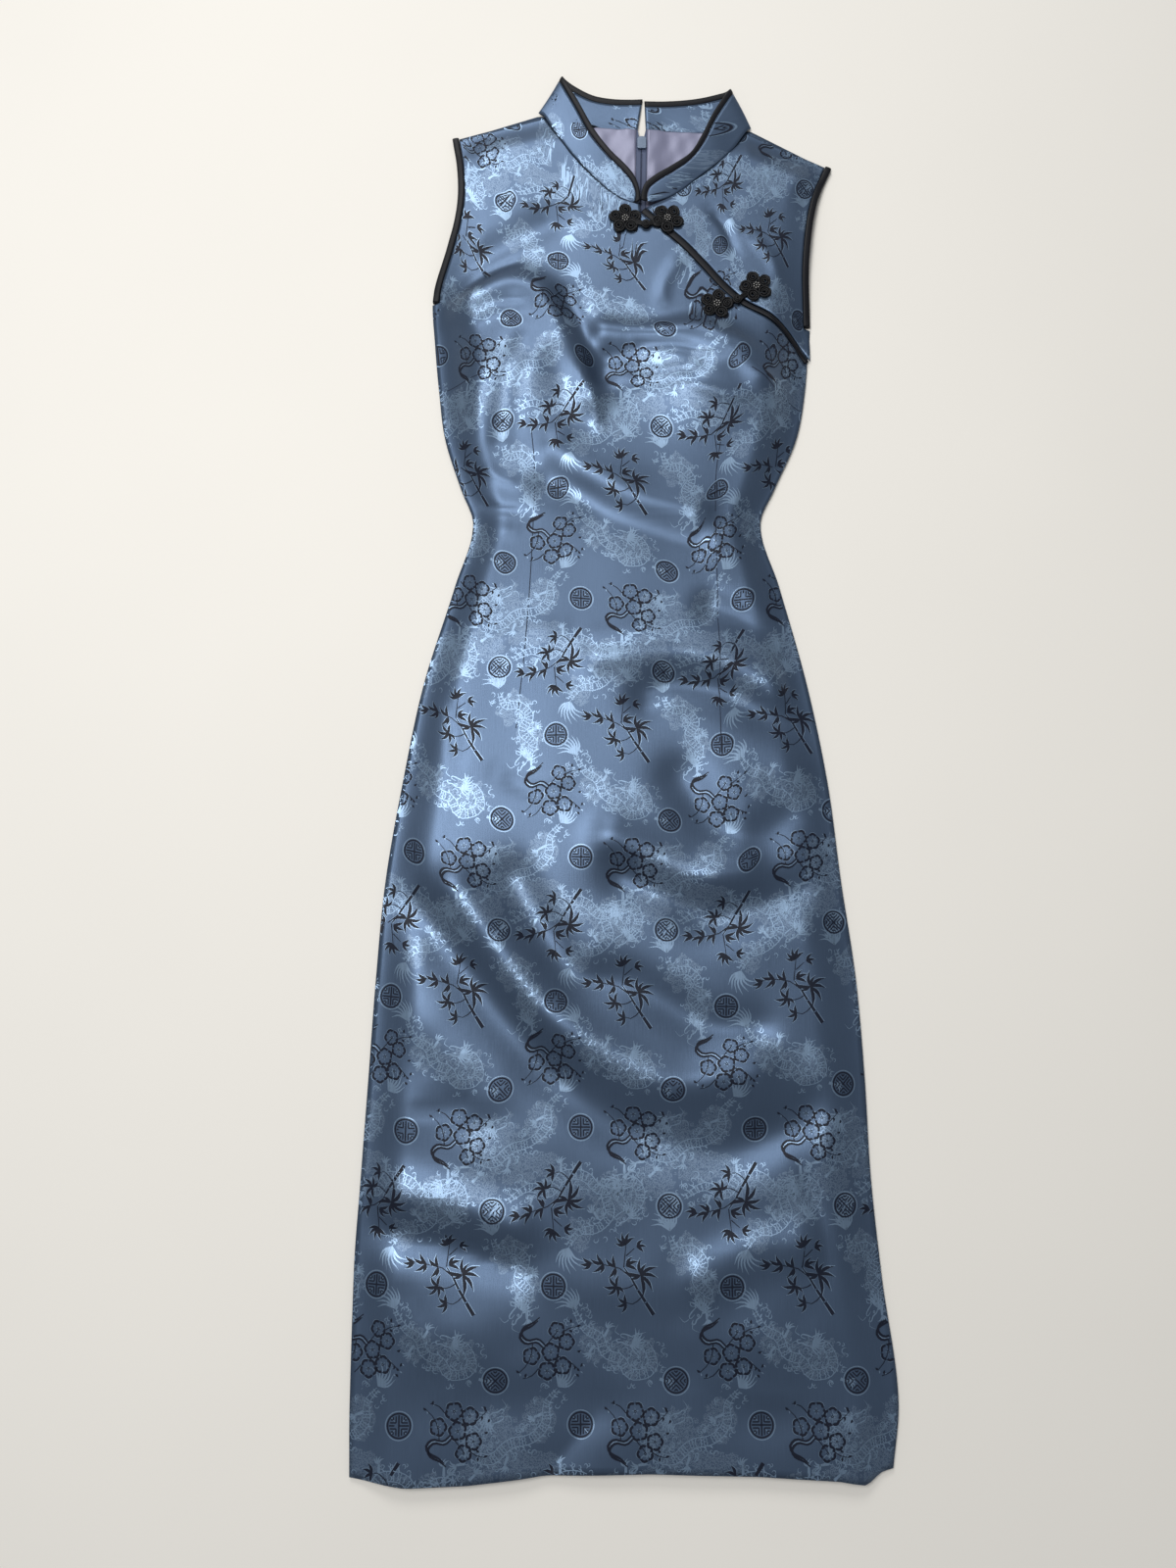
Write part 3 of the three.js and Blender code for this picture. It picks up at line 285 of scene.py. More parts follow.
def curveAt(points, shares):
    # Centripetal curve through the points; shares run from 0 to 1 with equal steps between points
    p = np.array(points, float)
    p = np.vstack([2 * p[0] - p[1], p, 2 * p[-1] - p[-2]])
    out = []
    for share in np.clip(shares, 0, 1):
        place = share * (len(p) - 3)
        i = min(int(place), len(p) - 4)
        w = place - i
        a, b, c, d = p[i:i + 4]
        d0, d1, d2 = (max(np.linalg.norm(v) ** 0.5, 1e-4) for v in (b - a, c - b, d - c))
        s1 = ((b - a) / d0 - (c - a) / (d0 + d1) + (c - b) / d1) * d1
        s2 = ((c - b) / d1 - (d - b) / (d1 + d2) + (d - c) / d2) * d1
        out.append(b + s1 * w + (3 * (c - b) - 2 * s1 - s2) * w ** 2 + (2 * (b - c) + s1 + s2) * w ** 3)
    return np.array(out)


def alongCurve(points, shares):
    dense = curveAt(points, np.linspace(0, 1, 12 * len(points)))
    run = np.concatenate([[0], np.cumsum(np.linalg.norm(np.diff(dense, axis=0), axis=1))])
    return np.stack([np.interp(np.array(shares) * run[-1], run,
                               dense[:, k]) for k in range(dense.shape[1])], axis=1)


def spaced(points, count):
    return alongCurve(points, np.linspace(0, 1, count))


def lineDistance(x, y, line):
    nearest = np.full(np.shape(x), 1e9)
    for (ax, ay), (bx, by) in zip(line[:-1], line[1:]):
        dx, dy = bx - ax, by - ay
        t = np.clip(((x - ax) * dx + (y - ay) * dy) / (dx * dx + dy * dy), 0, 1)
        nearest = np.minimum(nearest, np.hypot(x - ax - t * dx, y - ay - t * dy))
    return nearest


foldLines = [(fold, curveAt(fold["line"], np.linspace(0, 1, 8 * len(fold["line"])))) for fold in folds]
creaseLines = [(crease, curveAt(crease["line"], np.linspace(0, 1,
                                                            6 * len(crease["line"])))) for crease in creases]


def creaseHeight(x, y):
    # Fine creases fade at both ends
    height = np.zeros(np.shape(x))
    for crease, line in creaseLines:
        near = lineDistance(x, y, line)
        ends = np.minimum(np.hypot(x - line[0][0], y - line[0][1]),
                          np.hypot(x - line[-1][0], y - line[-1][1]))
        fade = smooth(0.25 + ends / (3 * crease["width"]))
        height += fade * crease["height"] * np.exp(-(near / crease["width"]) ** 2)
    return height


def ripples(x, y):
    # A slow unevenness all over, as in any laid cloth
    return (0.45 * np.sin(0.031 * x + 0.017 * y + 1.3) * np.sin(0.023 * y - 0.011 * x + 0.4)
            + 0.3 * np.sin(0.062 * x - 0.041 * y + 2.1) * np.sin(0.047 * y + 0.02 * x))


def frontHeight(x, y, fine=True):
    # Top of the front's cloth
    x, y = np.asarray(x, float), np.asarray(y, float)
    left = x < centreBack["neckX"]
    side = np.minimum(x - leftX(y), rightX(y) - x)
    inward = smooth(side / lookUp(lie, 2, y))
    l, r = shoulders["left"], shoulders["right"]
    along = np.where(left, np.clip((x - l[0]) / (l[2] - l[0]), 0, 1),
                     np.clip((x - r[0]) / (r[2] - r[0]), 0, 1))
    seamY = np.where(left, mix(l[1], l[3], along), mix(r[1], r[3], along))
    down = smooth((seamY - y) / shoulders["roll"])
    body = lookUp(lie, 1, y) - seamHeight
    for fold, line in foldLines:
        height = fold["height"] * foldStrength.get(fold["part"], 1)
        body = body + height * np.exp(-(lineDistance(x, y, line) / fold["width"]) ** 2)
    for cx, cy, rx, ry, height in cups:
        body = body + height * np.exp(-((x - cx) / rx) ** 2 - ((y - cy) / ry) ** 2)
    if fine:
        body = body + creaseHeight(x, y) + ripples(x, y)
    up = np.where(left, (y - armhole["leftY"]) / (l[3] - armhole["leftY"]),
                  (y - armhole["rightY"]) / (r[3] - armhole["rightY"]))
    gape = np.where((up > 0) & (up < 1), armhole["lift"] * np.sin(math.pi * up), 0)
    return np.maximum(seamHeight + body * inward * down + gape * (1 - inward) * down, seamHeight)


def centreX(y):
    return mix(centreBack["hemX"], centreBack["neckX"],
               (y - centreBack["hemY"]) / (centreBack["neckY"] - centreBack["hemY"]))


def halfOpen(y):
    opened = np.clip((y - zipSizes["openFrom"]) / (centreBack["neckY"] - zipSizes["openFrom"]), 0, 1)
    return mix(cloth["gap"] / 2, zipSizes["openWidth"] / 2, opened)


def tentLift(x, y, spread=0):
    across = smooth((abs(x - centreX(y)) - tent["halfWidth"] - spread) / tent["fade"])
    below = smooth((tent["bottom"] - spread - y) / tent["fade"])
    above = smooth((y - tent["top"] - spread) / tent["fade"])
    return tent["lift"] * (1 - across) * (1 - below) * (1 - above)


def onHem(x, y):
    (x0, y0), (x1, y1) = hemLine[0], hemLine[-1]
    straight = mix(y0, y1, (x - x0) / (x1 - x0))
    return y + (lookUp(hemLine, 1, x) - straight) * (1 - smooth((y - y0) / hemFade))


def sideShift(run, distance):
    run = np.array(run, float)
    way = np.gradient(run, axis=0)
    way /= np.linalg.norm(way, axis=1)[:, None]
    return run + distance * np.stack([-way[:, 1], way[:, 0]], axis=1)


def outlineRun(softX, ys):
    return np.stack([softX(np.array(ys, float)), np.array(ys, float)], axis=1)


# Meshes
def gridQuads(rows, cols, start=0, closed=False):
    r, c = np.meshgrid(np.arange(rows - 1), np.arange(cols if closed else cols - 1), indexing="ij")
    a = start + r * cols + c
    b = start + r * cols + (c + 1) % cols
    return np.stack([a, b, b + cols, a + cols], axis=-1).reshape(-1, 4).tolist()


def addMesh(name, points, faces, material, uv=None, isSmooth=True):
    mesh = bpy.data.meshes.new(name)
    mesh.from_pydata((np.array(points, float) * mm).tolist(), [], faces)
    if uv is not None:
        layer = mesh.uv_layers.new(name="cloth")
        loops = np.empty(len(mesh.loops), dtype=np.int32)
        mesh.loops.foreach_get("vertex_index", loops)
        layer.data.foreach_set("uv", (np.array(uv, float)[loops] * mm).ravel())
    mesh.materials.append(material)
    mesh.polygons.foreach_set("use_smooth", [isSmooth] * len(mesh.polygons))
    mesh.update()
    piece = bpy.data.objects.new(name, mesh)
    bpy.context.collection.objects.link(piece)
    return piece


def gridNormals(grid):
    n = np.cross(np.gradient(grid, axis=1), np.gradient(grid, axis=0))
    return n / np.maximum(np.linalg.norm(n, axis=2), 1e-9)[..., None]


def clothUV(grid):
    # Lengths measured along the cloth, level with the frame at the middle column
    across = np.concatenate([np.zeros((len(grid), 1)),
                             np.cumsum(np.linalg.norm(np.diff(grid, axis=1), axis=2), axis=1)], axis=1)
    middle = grid.shape[1] // 2
    u = across - across[:, [middle]] + grid[:, [middle], 0]
    climb = np.linalg.norm(np.diff(grid, axis=0), axis=2)
    flat = np.linalg.norm(np.diff(grid[..., :2], axis=0), axis=2)
    extra = np.concatenate([np.zeros((1, grid.shape[1])), np.cumsum(climb - flat, axis=0)])
    return np.stack([u, grid[..., 1] + extra], axis=2)


def sheetArea(grid):
    a, b = np.diff(grid, axis=1)[:-1], np.diff(grid, axis=0)[:, :-1]
    return float(np.linalg.norm(np.cross(a, b), axis=2).sum()) * mm * mm


def makeShell(name, top, thickness, material, below=None):
    # A closed thin wall of cloth under a grid of points
    rows, cols = top.shape[:2]
    under = below if below is not None else top - gridNormals(top) * thickness
    uv = clothUV(top).reshape(-1, 2)
    count = rows * cols
    faces = gridQuads(rows, cols) + [face[::-1] for face in gridQuads(rows, cols, count)]
    rim = ([(0, c) for c in range(cols)] + [(r, cols - 1) for r in range(1, rows)]
           + [(rows - 1, c) for c in range(cols - 2, -1, -1)] + [(r, 0) for r in range(rows - 2, 0, -1)])
    ids = [r * cols + c for r, c in rim]
    faces += [[b, a, a + count, b + count] for a, b in zip(ids, ids[1:] + ids[:1])]
    points = np.concatenate([top.reshape(-1, 3), under.reshape(-1, 3)])
    piece = addMesh(name, points, faces, material, np.concatenate([uv, uv]))
    pieceFacts[name] = {"area": sheetArea(top), "grid": top, "uv": clothUV(top)}
    return piece


def makeRibbon(name, inner, outer, thickness, material, ringSteps=5):
    # A soft folded strip between two edges, with its edges rounded
    inner, outer = np.array(inner, float), np.array(outer, float)
    grid = np.stack([inner, outer], axis=1)
    up = gridNormals(grid)[:, 0]
    shares = (1 - np.cos(np.linspace(0, math.pi, ringSteps + 2))) / 2
    ring = []
    for share in shares:
        half = thickness / 2 * max(0.0, 1 - abs(2 * share - 1) ** 3) ** 0.5
        ring.append(mix(inner, outer, share) + up * half)
    for share in shares[-2:0:-1]:
        half = thickness / 2 * max(0.0, 1 - abs(2 * share - 1) ** 3) ** 0.5
        ring.append(mix(inner, outer, share) - up * half)
    points = np.stack(ring, axis=1)
    rows, cols = points.shape[:2]
    faces = gridQuads(rows, cols, closed=True)
    faces += [list(range(cols))[::-1], [(rows - 1) * cols + c for c in range(cols)]]
    run = np.concatenate([[0], np.cumsum(np.linalg.norm(np.diff(outer, axis=0), axis=1))])
    width = float(np.linalg.norm(outer - inner, axis=1).mean())
    around = np.linspace(0, 2 * width, cols)
    uv = np.stack(np.meshgrid(around, run), axis=2).reshape(-1, 2)
    piece = addMesh(name, points.reshape(-1, 3), faces, material, uv)
    pieceFacts[name] = {"length": float(run[-1]) * mm, "width": width * mm}
    return piece


def faceOut(piece):
    work = bmesh.new()
    work.from_mesh(piece.data)
    bmesh.ops.recalc_face_normals(work, faces=work.faces)
    work.to_mesh(piece.data)
    work.free()


pieceFacts = {}

# Materials
fibre = {"warpScale": 2600, "warpStretch": 0.02, "slubScale": 60, "bump": 0.00012}


def groupTree(name, inputs, outputs):
    group = bpy.data.node_groups.new(name, "ShaderNodeTree")
    for label, kind, value in inputs:
        socket = group.interface.new_socket(label, in_out="INPUT", socket_type=kind)
        socket.default_value = value
    for label, kind in outputs:
        group.interface.new_socket(label, in_out="OUTPUT", socket_type=kind)
    return group, group.nodes.new("NodeGroupInput"), group.nodes.new("NodeGroupOutput")


def makeThreadGroup():
    # Fine streaks along the warp, and a slow unevenness of colour
    group, start, end = groupTree("wovenThread", [
        ("Vector", "NodeSocketVector", (0, 0, 0)), ("Colour", "NodeSocketColor", (0.1, 0.15, 0.26, 1)),
        ("Streaks", "NodeSocketFloat", 0.2), ("Patches", "NodeSocketFloat", 0.15),
        ("Roughness", "NodeSocketFloat", 0.4), ("Scale", "NodeSocketFloat", fibre["warpScale"])],
        [("Colour", "NodeSocketColor"), ("Roughness", "NodeSocketFloat"), ("Height", "NodeSocketFloat")])
    nodes, links = group.nodes, group.links
    stretch = nodes.new("ShaderNodeVectorMath")
    stretch.operation = "MULTIPLY"
    stretch.inputs[1].default_value = (1, fibre["warpStretch"], 1)
    links.new(start.outputs["Vector"], stretch.inputs[0])
    streak = nodes.new("ShaderNodeTexNoise")
    streak.inputs["Detail"].default_value = 2
    links.new(stretch.outputs[0], streak.inputs["Vector"])
    links.new(start.outputs["Scale"], streak.inputs["Scale"])
    patch = nodes.new("ShaderNodeTexNoise")
    patch.inputs["Scale"].default_value = fibre["slubScale"] / 6
    patch.inputs["Detail"].default_value = 3
    links.new(start.outputs["Vector"], patch.inputs["Vector"])
    sums = []
    for source, amount in ((streak, "Streaks"), (patch, "Patches")):
        around = nodes.new("ShaderNodeMath")
        around.operation = "SUBTRACT"
        around.inputs[1].default_value = 0.5
        links.new(source.outputs["Fac"], around.inputs[0])
        scaled = nodes.new("ShaderNodeMath")
        scaled.operation = "MULTIPLY"
        links.new(around.outputs[0], scaled.inputs[0])
        links.new(start.outputs[amount], scaled.inputs[1])
        sums.append(scaled)
    total = nodes.new("ShaderNodeMath")
    total.operation = "ADD"
    links.new(sums[0].outputs[0], total.inputs[0])
    links.new(sums[1].outputs[0], total.inputs[1])
    brighten = nodes.new("ShaderNodeMath")
    brighten.operation = "ADD"
    brighten.inputs[1].default_value = 1
    links.new(total.outputs[0], brighten.inputs[0])
    tint = nodes.new("ShaderNodeVectorMath")
    tint.operation = "SCALE"
    links.new(start.outputs["Colour"], tint.inputs[0])
    links.new(brighten.outputs[0], tint.inputs["Scale"])
    links.new(tint.outputs[0], end.inputs["Colour"])
    rough = nodes.new("ShaderNodeMath")
    rough.operation = "MULTIPLY_ADD"
    rough.inputs[1].default_value = 0.4
    links.new(total.outputs[0], rough.inputs[0])
    links.new(start.outputs["Roughness"], rough.inputs[2])
    links.new(rough.outputs[0], end.inputs["Roughness"])
    links.new(streak.outputs["Fac"], end.inputs["Height"])
    return group


threadGroup = makeThreadGroup()


def makeClothMaterial(name, colour, roughness, streaks=0.2, patches=0.15, metallic=0.0, sheen=0.0,
                      scale=None, bump=None, onObject=False, specular=0.5):
    material = bpy.data.materials.new(name)
    material.use_nodes = True
    nodes, links = material.node_tree.nodes, material.node_tree.links
    shader = nodes["Principled BSDF"]
    shader.inputs["Metallic"].default_value = metallic
    shader.inputs["Sheen Weight"].default_value = sheen
    shader.inputs["Sheen Roughness"].default_value = 0.4
    shader.inputs["Sheen Tint"].default_value = (0.8, 0.87, 1, 1)
    shader.inputs["Specular IOR Level"].default_value = specular
    thread = nodes.new("ShaderNodeGroup")
    thread.node_tree = threadGroup
    thread.inputs["Colour"].default_value = (*colour, 1)
    thread.inputs["Streaks"].default_value = streaks
    thread.inputs["Patches"].default_value = patches
    thread.inputs["Roughness"].default_value = roughness
    thread.inputs["Scale"].default_value = scale or fibre["warpScale"]
    if onObject:
        place = nodes.new("ShaderNodeTexCoord")
        links.new(place.outputs["Object"], thread.inputs["Vector"])
    else:
        place = nodes.new("ShaderNodeUVMap")
        place.uv_map = "cloth"
        links.new(place.outputs["UV"], thread.inputs["Vector"])
    links.new(thread.outputs["Colour"], shader.inputs["Base Color"])
    links.new(thread.outputs["Roughness"], shader.inputs["Roughness"])
    relief = nodes.new("ShaderNodeBump")
    relief.inputs["Strength"].default_value = 0.5
    relief.inputs["Distance"].default_value = bump or fibre["bump"]
    links.new(thread.outputs["Height"], relief.inputs["Height"])
    links.new(relief.outputs["Normal"], shader.inputs["Normal"])
    return material


finishes = {
    "ground": makeClothMaterial("satinGround", (0.080, 0.121, 0.192), 0.43, 0.22, 0.25, metallic=0.8),
    "pale": makeClothMaterial("paleThread", (0.21, 0.30, 0.42), 0.40, 0.35, 0.3, metallic=0.85,
                              onObject=True, scale=900),
    "dark": makeClothMaterial("darkThread", (0.006, 0.009, 0.020), 0.5, 0.3, 0.2, onObject=True, scale=900,
                              specular=0.2),
    "binding": makeClothMaterial("bindingSatin", (0.0035, 0.004, 0.0065), 0.48, 0.5, 0.4, scale=1500,
                                 bump=0.0002, specular=0.22),
    "cord": makeClothMaterial("cordSatin", (0.0022, 0.0023, 0.0032), 0.45, 0.5, 0.3, onObject=True,
                              scale=1800, bump=0.0003,
                              specular=0.25),
    "lining": makeClothMaterial("liningSatin", (0.200, 0.205, 0.300), 0.42, 0.15, 0.2, metallic=0.2),
    "tape": makeClothMaterial("tapeWeave", (0.070, 0.090, 0.160), 0.7, 0.5, 0.1, scale=1800),
    "bead": makeClothMaterial("beadGlass", (0.62, 0.60, 0.56), 0.18, 0.1, 0.1, onObject=True),
    "slider": makeClothMaterial("sliderEnamel", (0.110, 0.150, 0.215), 0.36, 0.1, 0.3, metallic=0.3,
                                onObject=True, scale=700),
    # Dark navy for the strips along the darts and the back seam: painted shade of the seam creases, not a
    # thread colour
    "seamShade": makeClothMaterial("paintedSeamShade", (0.020, 0.030, 0.055), 0.6, 0.3, 0.1, onObject=True,
                                specular=0.2),
}

# One repeat of the pattern, drawn in millimetres from its first medallion
repeat = {"width": 150.0, "height": 239.0, "originX": -59.0, "originY": -256.0,
          "paleLift": 0.16, "darkLift": 0.27, "seed": 12}

# Pale masses of the woven dragons, in millimetres of the repeat: middle and half sizes
dragonMasses = [(35, -45, 13, 15), (68, -56, 22, 16), (-12, -105, 14, 18), (-52, -118, 24, 22),
                (-25, -142, 30, 13),
                (22, 42, 12, 13), (52, 72, 24, 20), (-38, 26, 15, 16), (-24, 2, 12, 16), (-66, 84, 18, 14),
                (10, -158, 24, 12)]
massWeave = {"edge": 0.45, "edgeScale": 0.11, "curlScale": 0.12, "curlLines": 10.0, "strength": 0.3}


def makeMassGroup():
    # Curling pale lines inside soft patches that come again with the repeat
    group, start, end = groupTree("dragonMass", [
        ("Vector", "NodeSocketVector", (0, 0, 0)), ("Colour", "NodeSocketColor", (0.1, 0.15, 0.26, 1)),
        ("Pale", "NodeSocketColor", (0.27, 0.36, 0.47, 1)),
                                                 ("Strength", "NodeSocketFloat", massWeave["strength"])],
        [("Colour", "NodeSocketColor")])
    nodes, links = group.nodes, group.links

    def vector(kind, source, *values):
        node = nodes.new("ShaderNodeVectorMath")
        node.operation = kind
        links.new(source, node.inputs[0])
        for i, value in enumerate(values):
            node.inputs[i + 1].default_value = value
        return node

    def number(kind, *sources):
        node = nodes.new("ShaderNodeMath")
        node.operation = kind
        for socket, source in zip(node.inputs, sources):
            if isinstance(source, (int, float)):
                socket.default_value = source
            else:
                links.new(source, socket)
        return node.outputs[0]
    half = (repeat["width"] / 2, repeat["height"] / 2, 1)
    inMm = vector("MULTIPLY", start.outputs["Vector"], (1000, 1000, 0))
    local = vector("SUBTRACT", inMm.outputs[0], (repeat["originX"], repeat["originY"], 0))
    least = None
    for cx, cy, rx, ry in dragonMasses:
        away = vector("SUBTRACT", local.outputs[0], (cx, cy, 0))
        wrapped = vector("WRAP", away.outputs[0], half, tuple(-v for v in half))
        scaled = vector("MULTIPLY", wrapped.outputs[0], (1 / rx, 1 / ry, 0))
        length = vector("LENGTH", scaled.outputs[0]).outputs["Value"]
        least = length if least is None else number("MINIMUM", least, length)
    tiled = vector("WRAP", local.outputs[0], (repeat["width"], repeat["height"], 1), (0, 0, 0))
    edge = nodes.new("ShaderNodeTexNoise")
    edge.inputs["Scale"].default_value = massWeave["edgeScale"]
    links.new(tiled.outputs[0], edge.inputs["Vector"])
    rough = number("ADD", least, number("MULTIPLY", number("SUBTRACT", edge.outputs["Fac"], 0.5),
                                        massWeave["edge"] * 3))
    inside = number("LESS_THAN", rough, 1.0)
    curls = nodes.new("ShaderNodeTexNoise")
    curls.inputs["Scale"].default_value = massWeave["curlScale"]
    curls.inputs["Detail"].default_value = 3
    curls.inputs["Roughness"].default_value = 0.6
    links.new(tiled.outputs[0], curls.inputs["Vector"])
    bands = number("FRACT", number("MULTIPLY", curls.outputs["Fac"], massWeave["curlLines"]))
    drawn = number("GREATER_THAN", bands, 0.42)
    share = number("MULTIPLY", number("MULTIPLY", inside, drawn), start.outputs["Strength"])
    blend = nodes.new("ShaderNodeMix")
    blend.data_type = "RGBA"
    links.new(share, blend.inputs["Factor"])
    links.new(start.outputs["Colour"], blend.inputs["A"])
    links.new(start.outputs["Pale"], blend.inputs["B"])
    links.new(blend.outputs["Result"], end.inputs["Colour"])
    return group


def addMasses(material):
    nodes, links = material.node_tree.nodes, material.node_tree.links
    shader = nodes["Principled BSDF"]
    before = shader.inputs["Base Color"].links[0].from_socket
    mass = nodes.new("ShaderNodeGroup")
    mass.node_tree = makeMassGroup()
    place = nodes.new("ShaderNodeUVMap")
    place.uv_map = "cloth"
    links.new(place.outputs["UV"], mass.inputs["Vector"])
    links.new(before, mass.inputs["Colour"])
    links.new(mass.outputs["Colour"], shader.inputs["Base Color"])


addMasses(finishes["ground"])
print("materials made")

# Panels
panelGrid = {"rowsBetween": 5, "frontColumns": 92, "shoulderColumns": 44, "backColumns": 40, "backBetween": 4}
boundInset = cloth["binding"] + cloth["gap"]
placketInset = cloth["binding"] / 2 + cloth["layGap"]
leftArm = outlineRun(leftX, np.linspace(armhole["leftY"], shoulders["left"][3], counts["arm"]))
rightArm = outlineRun(rightX, np.linspace(armhole["rightY"], shoulders["right"][3], counts["arm"]))
leftArmCloth, rightArmCloth = sideShift(leftArm, -boundInset), sideShift(rightArm, boundInset)
diagonalRun = spaced(diagonal, counts["diagonal"])
neckLeftRun = spaced(neckLeft, counts["neck"])


def finer(run, between):
    # The same edge with more points, each stretch split evenly
    run = np.array(run, float)
    places = np.linspace(0, len(run) - 1, (len(run) - 1) * between + 1)
    return np.stack([np.interp(places, np.arange(len(run)), run[:, k]) for k in range(run.shape[1])], axis=1)


def onFront(x, y, lift=0.0):
    return np.stack([x, y, frontHeight(x, y) + lift], axis=-1)


def frontMainGrid():
    placketY = diagonal[0][1] - placketInset
    body = np.concatenate([np.linspace(hemLine[0][1], waistY, counts["skirt"]),
                           np.linspace(waistY, placketY, counts["bust"])[1:]])
    under = np.linspace(placketY, armhole["leftY"] - armhole["step"], counts["underarm"] + 1)[1:]
    between = panelGrid["rowsBetween"]
    low = len(body) + len(under) - 1
    lowYs = np.interp(np.linspace(0, low, low * between + 1), np.arange(low + 1),
                      np.concatenate([body, under]))
    left = np.concatenate([outlineRun(leftX, lowYs),
                           finer([outlineRun(leftX, under[-1:])[0], *leftArmCloth], between)[1:]])
    rightLow = np.concatenate([[hemLine[-1][1]], body[1:]])
    bodyYs = np.interp(np.linspace(0, len(body) - 1, (len(body) - 1) * between + 1), np.arange(len(body)),
                       rightLow)
    cut = np.concatenate([sideShift(diagonalRun, placketInset), neckLeftRun])
    right = np.concatenate([outlineRun(rightX, bodyYs),
                            finer([outlineRun(rightX, body[-1:])[0], *cut], between)[1:]])
    shares = np.linspace(0, 1, panelGrid["frontColumns"])
    x = mix(left[:, [0]], right[:, [0]], shares)
    y = mix(left[:, [1]], right[:, [1]], shares)
    hung = onHem(x, y)
    return onFront(x, hung)


def patchGrid(lower, upper, left, right):
    v = np.linspace(0, 1, len(left))[:, None, None]
    u = np.linspace(0, 1, len(lower))[None, :, None]
    flat = (mix(left[:, None], right[:, None], u) + mix(lower[None], upper[None], v)
            - mix(mix(lower[0], lower[-1], u), mix(upper[0], upper[-1], u), v))
    return onFront(flat[..., 0], flat[..., 1])


def frontShoulderGrid():
    low = sideShift(diagonalRun, -placketInset)[::-1]
    side = outlineRun(rightX, [armhole["rightY"] - 15])
    arm = finer(np.concatenate([low[-1:], side, rightArmCloth]), panelGrid["rowsBetween"])
    lower = spaced(low, panelGrid["shoulderColumns"])
    neck = spaced(np.concatenate([low[:1], np.array(neckRight[1:], float)]), len(arm))
    upper = mix(neck[-1], arm[-1], np.linspace(0, 1, len(lower))[:, None])
    return patchGrid(lower, upper, neck, arm)


backNeckLeft = [(-77.6, 611.4), (-70, 609), (-52, 603.6), (-30, 598.6), (-11, 596), (19.4, 594)]
backNeckRight = [(130.8, 594.8), (123, 593.8), (106, 592), (88, 591.2), (68.6, 591.6), (27.6, 594)]
backRows = {"turn": 400, "high": [470, 505, 532, 548, 560, 572, 583, 594], "pullFrom": 440, "neckAt": 0.5}


def backGrid(side, softX, table, armRun, armY, neckSeam):
    armLow = armY - armhole["step"]
    below = np.array([y for x, y in table if y < armLow] + [armLow], float)
    turn, high = backRows["turn"], backRows["high"]
    seamYs = np.concatenate([mix(centreBack["hemY"], turn, (below - below[0]) / (armLow - below[0])),
                             np.linspace(turn, high[0], counts["arm"] - len(high) + 2)[1:], high[1:]])
    between = panelGrid["backBetween"]
    belowFine = finer(below[:, None], between)[:, 0]
    outer = np.concatenate([outlineRun(softX, belowFine),
                            finer([outlineRun(softX, below[-1:])[0], *armRun], between)[1:]])
    ys = finer(seamYs[:, None], between)[:, 0]
    centres = centreX(ys) + side * halfOpen(ys)
    topEdge = outer[-1]
    topCentre = np.array([centreX(594.0) + side * halfOpen(594.0), 594.0])
    shares = np.linspace(0, 1, panelGrid["backColumns"]) ** 1.25
    neckAt = backRows["neckAt"]
    target = np.array([alongCurve(neckSeam, [1 - u / neckAt])[0] if u < neckAt
                       else mix(np.array(neckSeam[0], float), topEdge,
                                (u - neckAt) / (1 - neckAt)) for u in shares])
    pull = smooth((ys - backRows["pullFrom"]) / (594.0 - backRows["pullFrom"]))[:, None]
    x = mix(centres[:, None], outer[:, [0]], shares) + (target[:, 0] - mix(topCentre[0], topEdge[0],
        shares)) * pull
    y = mix(ys[:, None], outer[:, [1]], shares) + (target[:, 1] - mix(topCentre[1], topEdge[1],
        shares)) * pull
    y = onHem(x, y)
    return np.stack([x, y, tentLift(x, y)], axis=-1)


panels = {}


def addFront(name, grid):
    floorOfFront = cloth["wall"] + cloth["gap"]
    under = grid.copy()
    under[..., 2] = np.maximum(grid[..., 2] - cloth["wall"], floorOfFront)
    panels[name] = makeShell(name + "_cloth", grid, cloth["wall"], finishes["ground"], under)


addFront("front_main", frontMainGrid())
addFront("front_shoulder", frontShoulderGrid())
for side, name in ((-1, "back_left"), (1, "back_right")):
    soft, table, run, armY, seam = ((leftX, leftOutline, leftArmCloth, armhole["leftY"],
                                     backNeckLeft) if side < 0
                                    else (rightX, rightOutline, rightArmCloth, armhole["rightY"],
                                          backNeckRight))
    outerFace = backGrid(side, soft, table, run, armY, seam)
    if side > 0:
        outerFace = outerFace  # columns already run away from the centre, so the face looks up
    inside = outerFace + np.array([0, 0, cloth["wall"]])
    panels[name] = makeShell(name + "_cloth", outerFace, cloth["wall"], finishes["ground"], inside)
    faceOut(panels[name])
print("panels laid")

# Collar halves, bindings, lining and zip
trims = {}
collarSizes = {"stations": 97, "across": 12, "gap": 0.8, "least": 1.5}


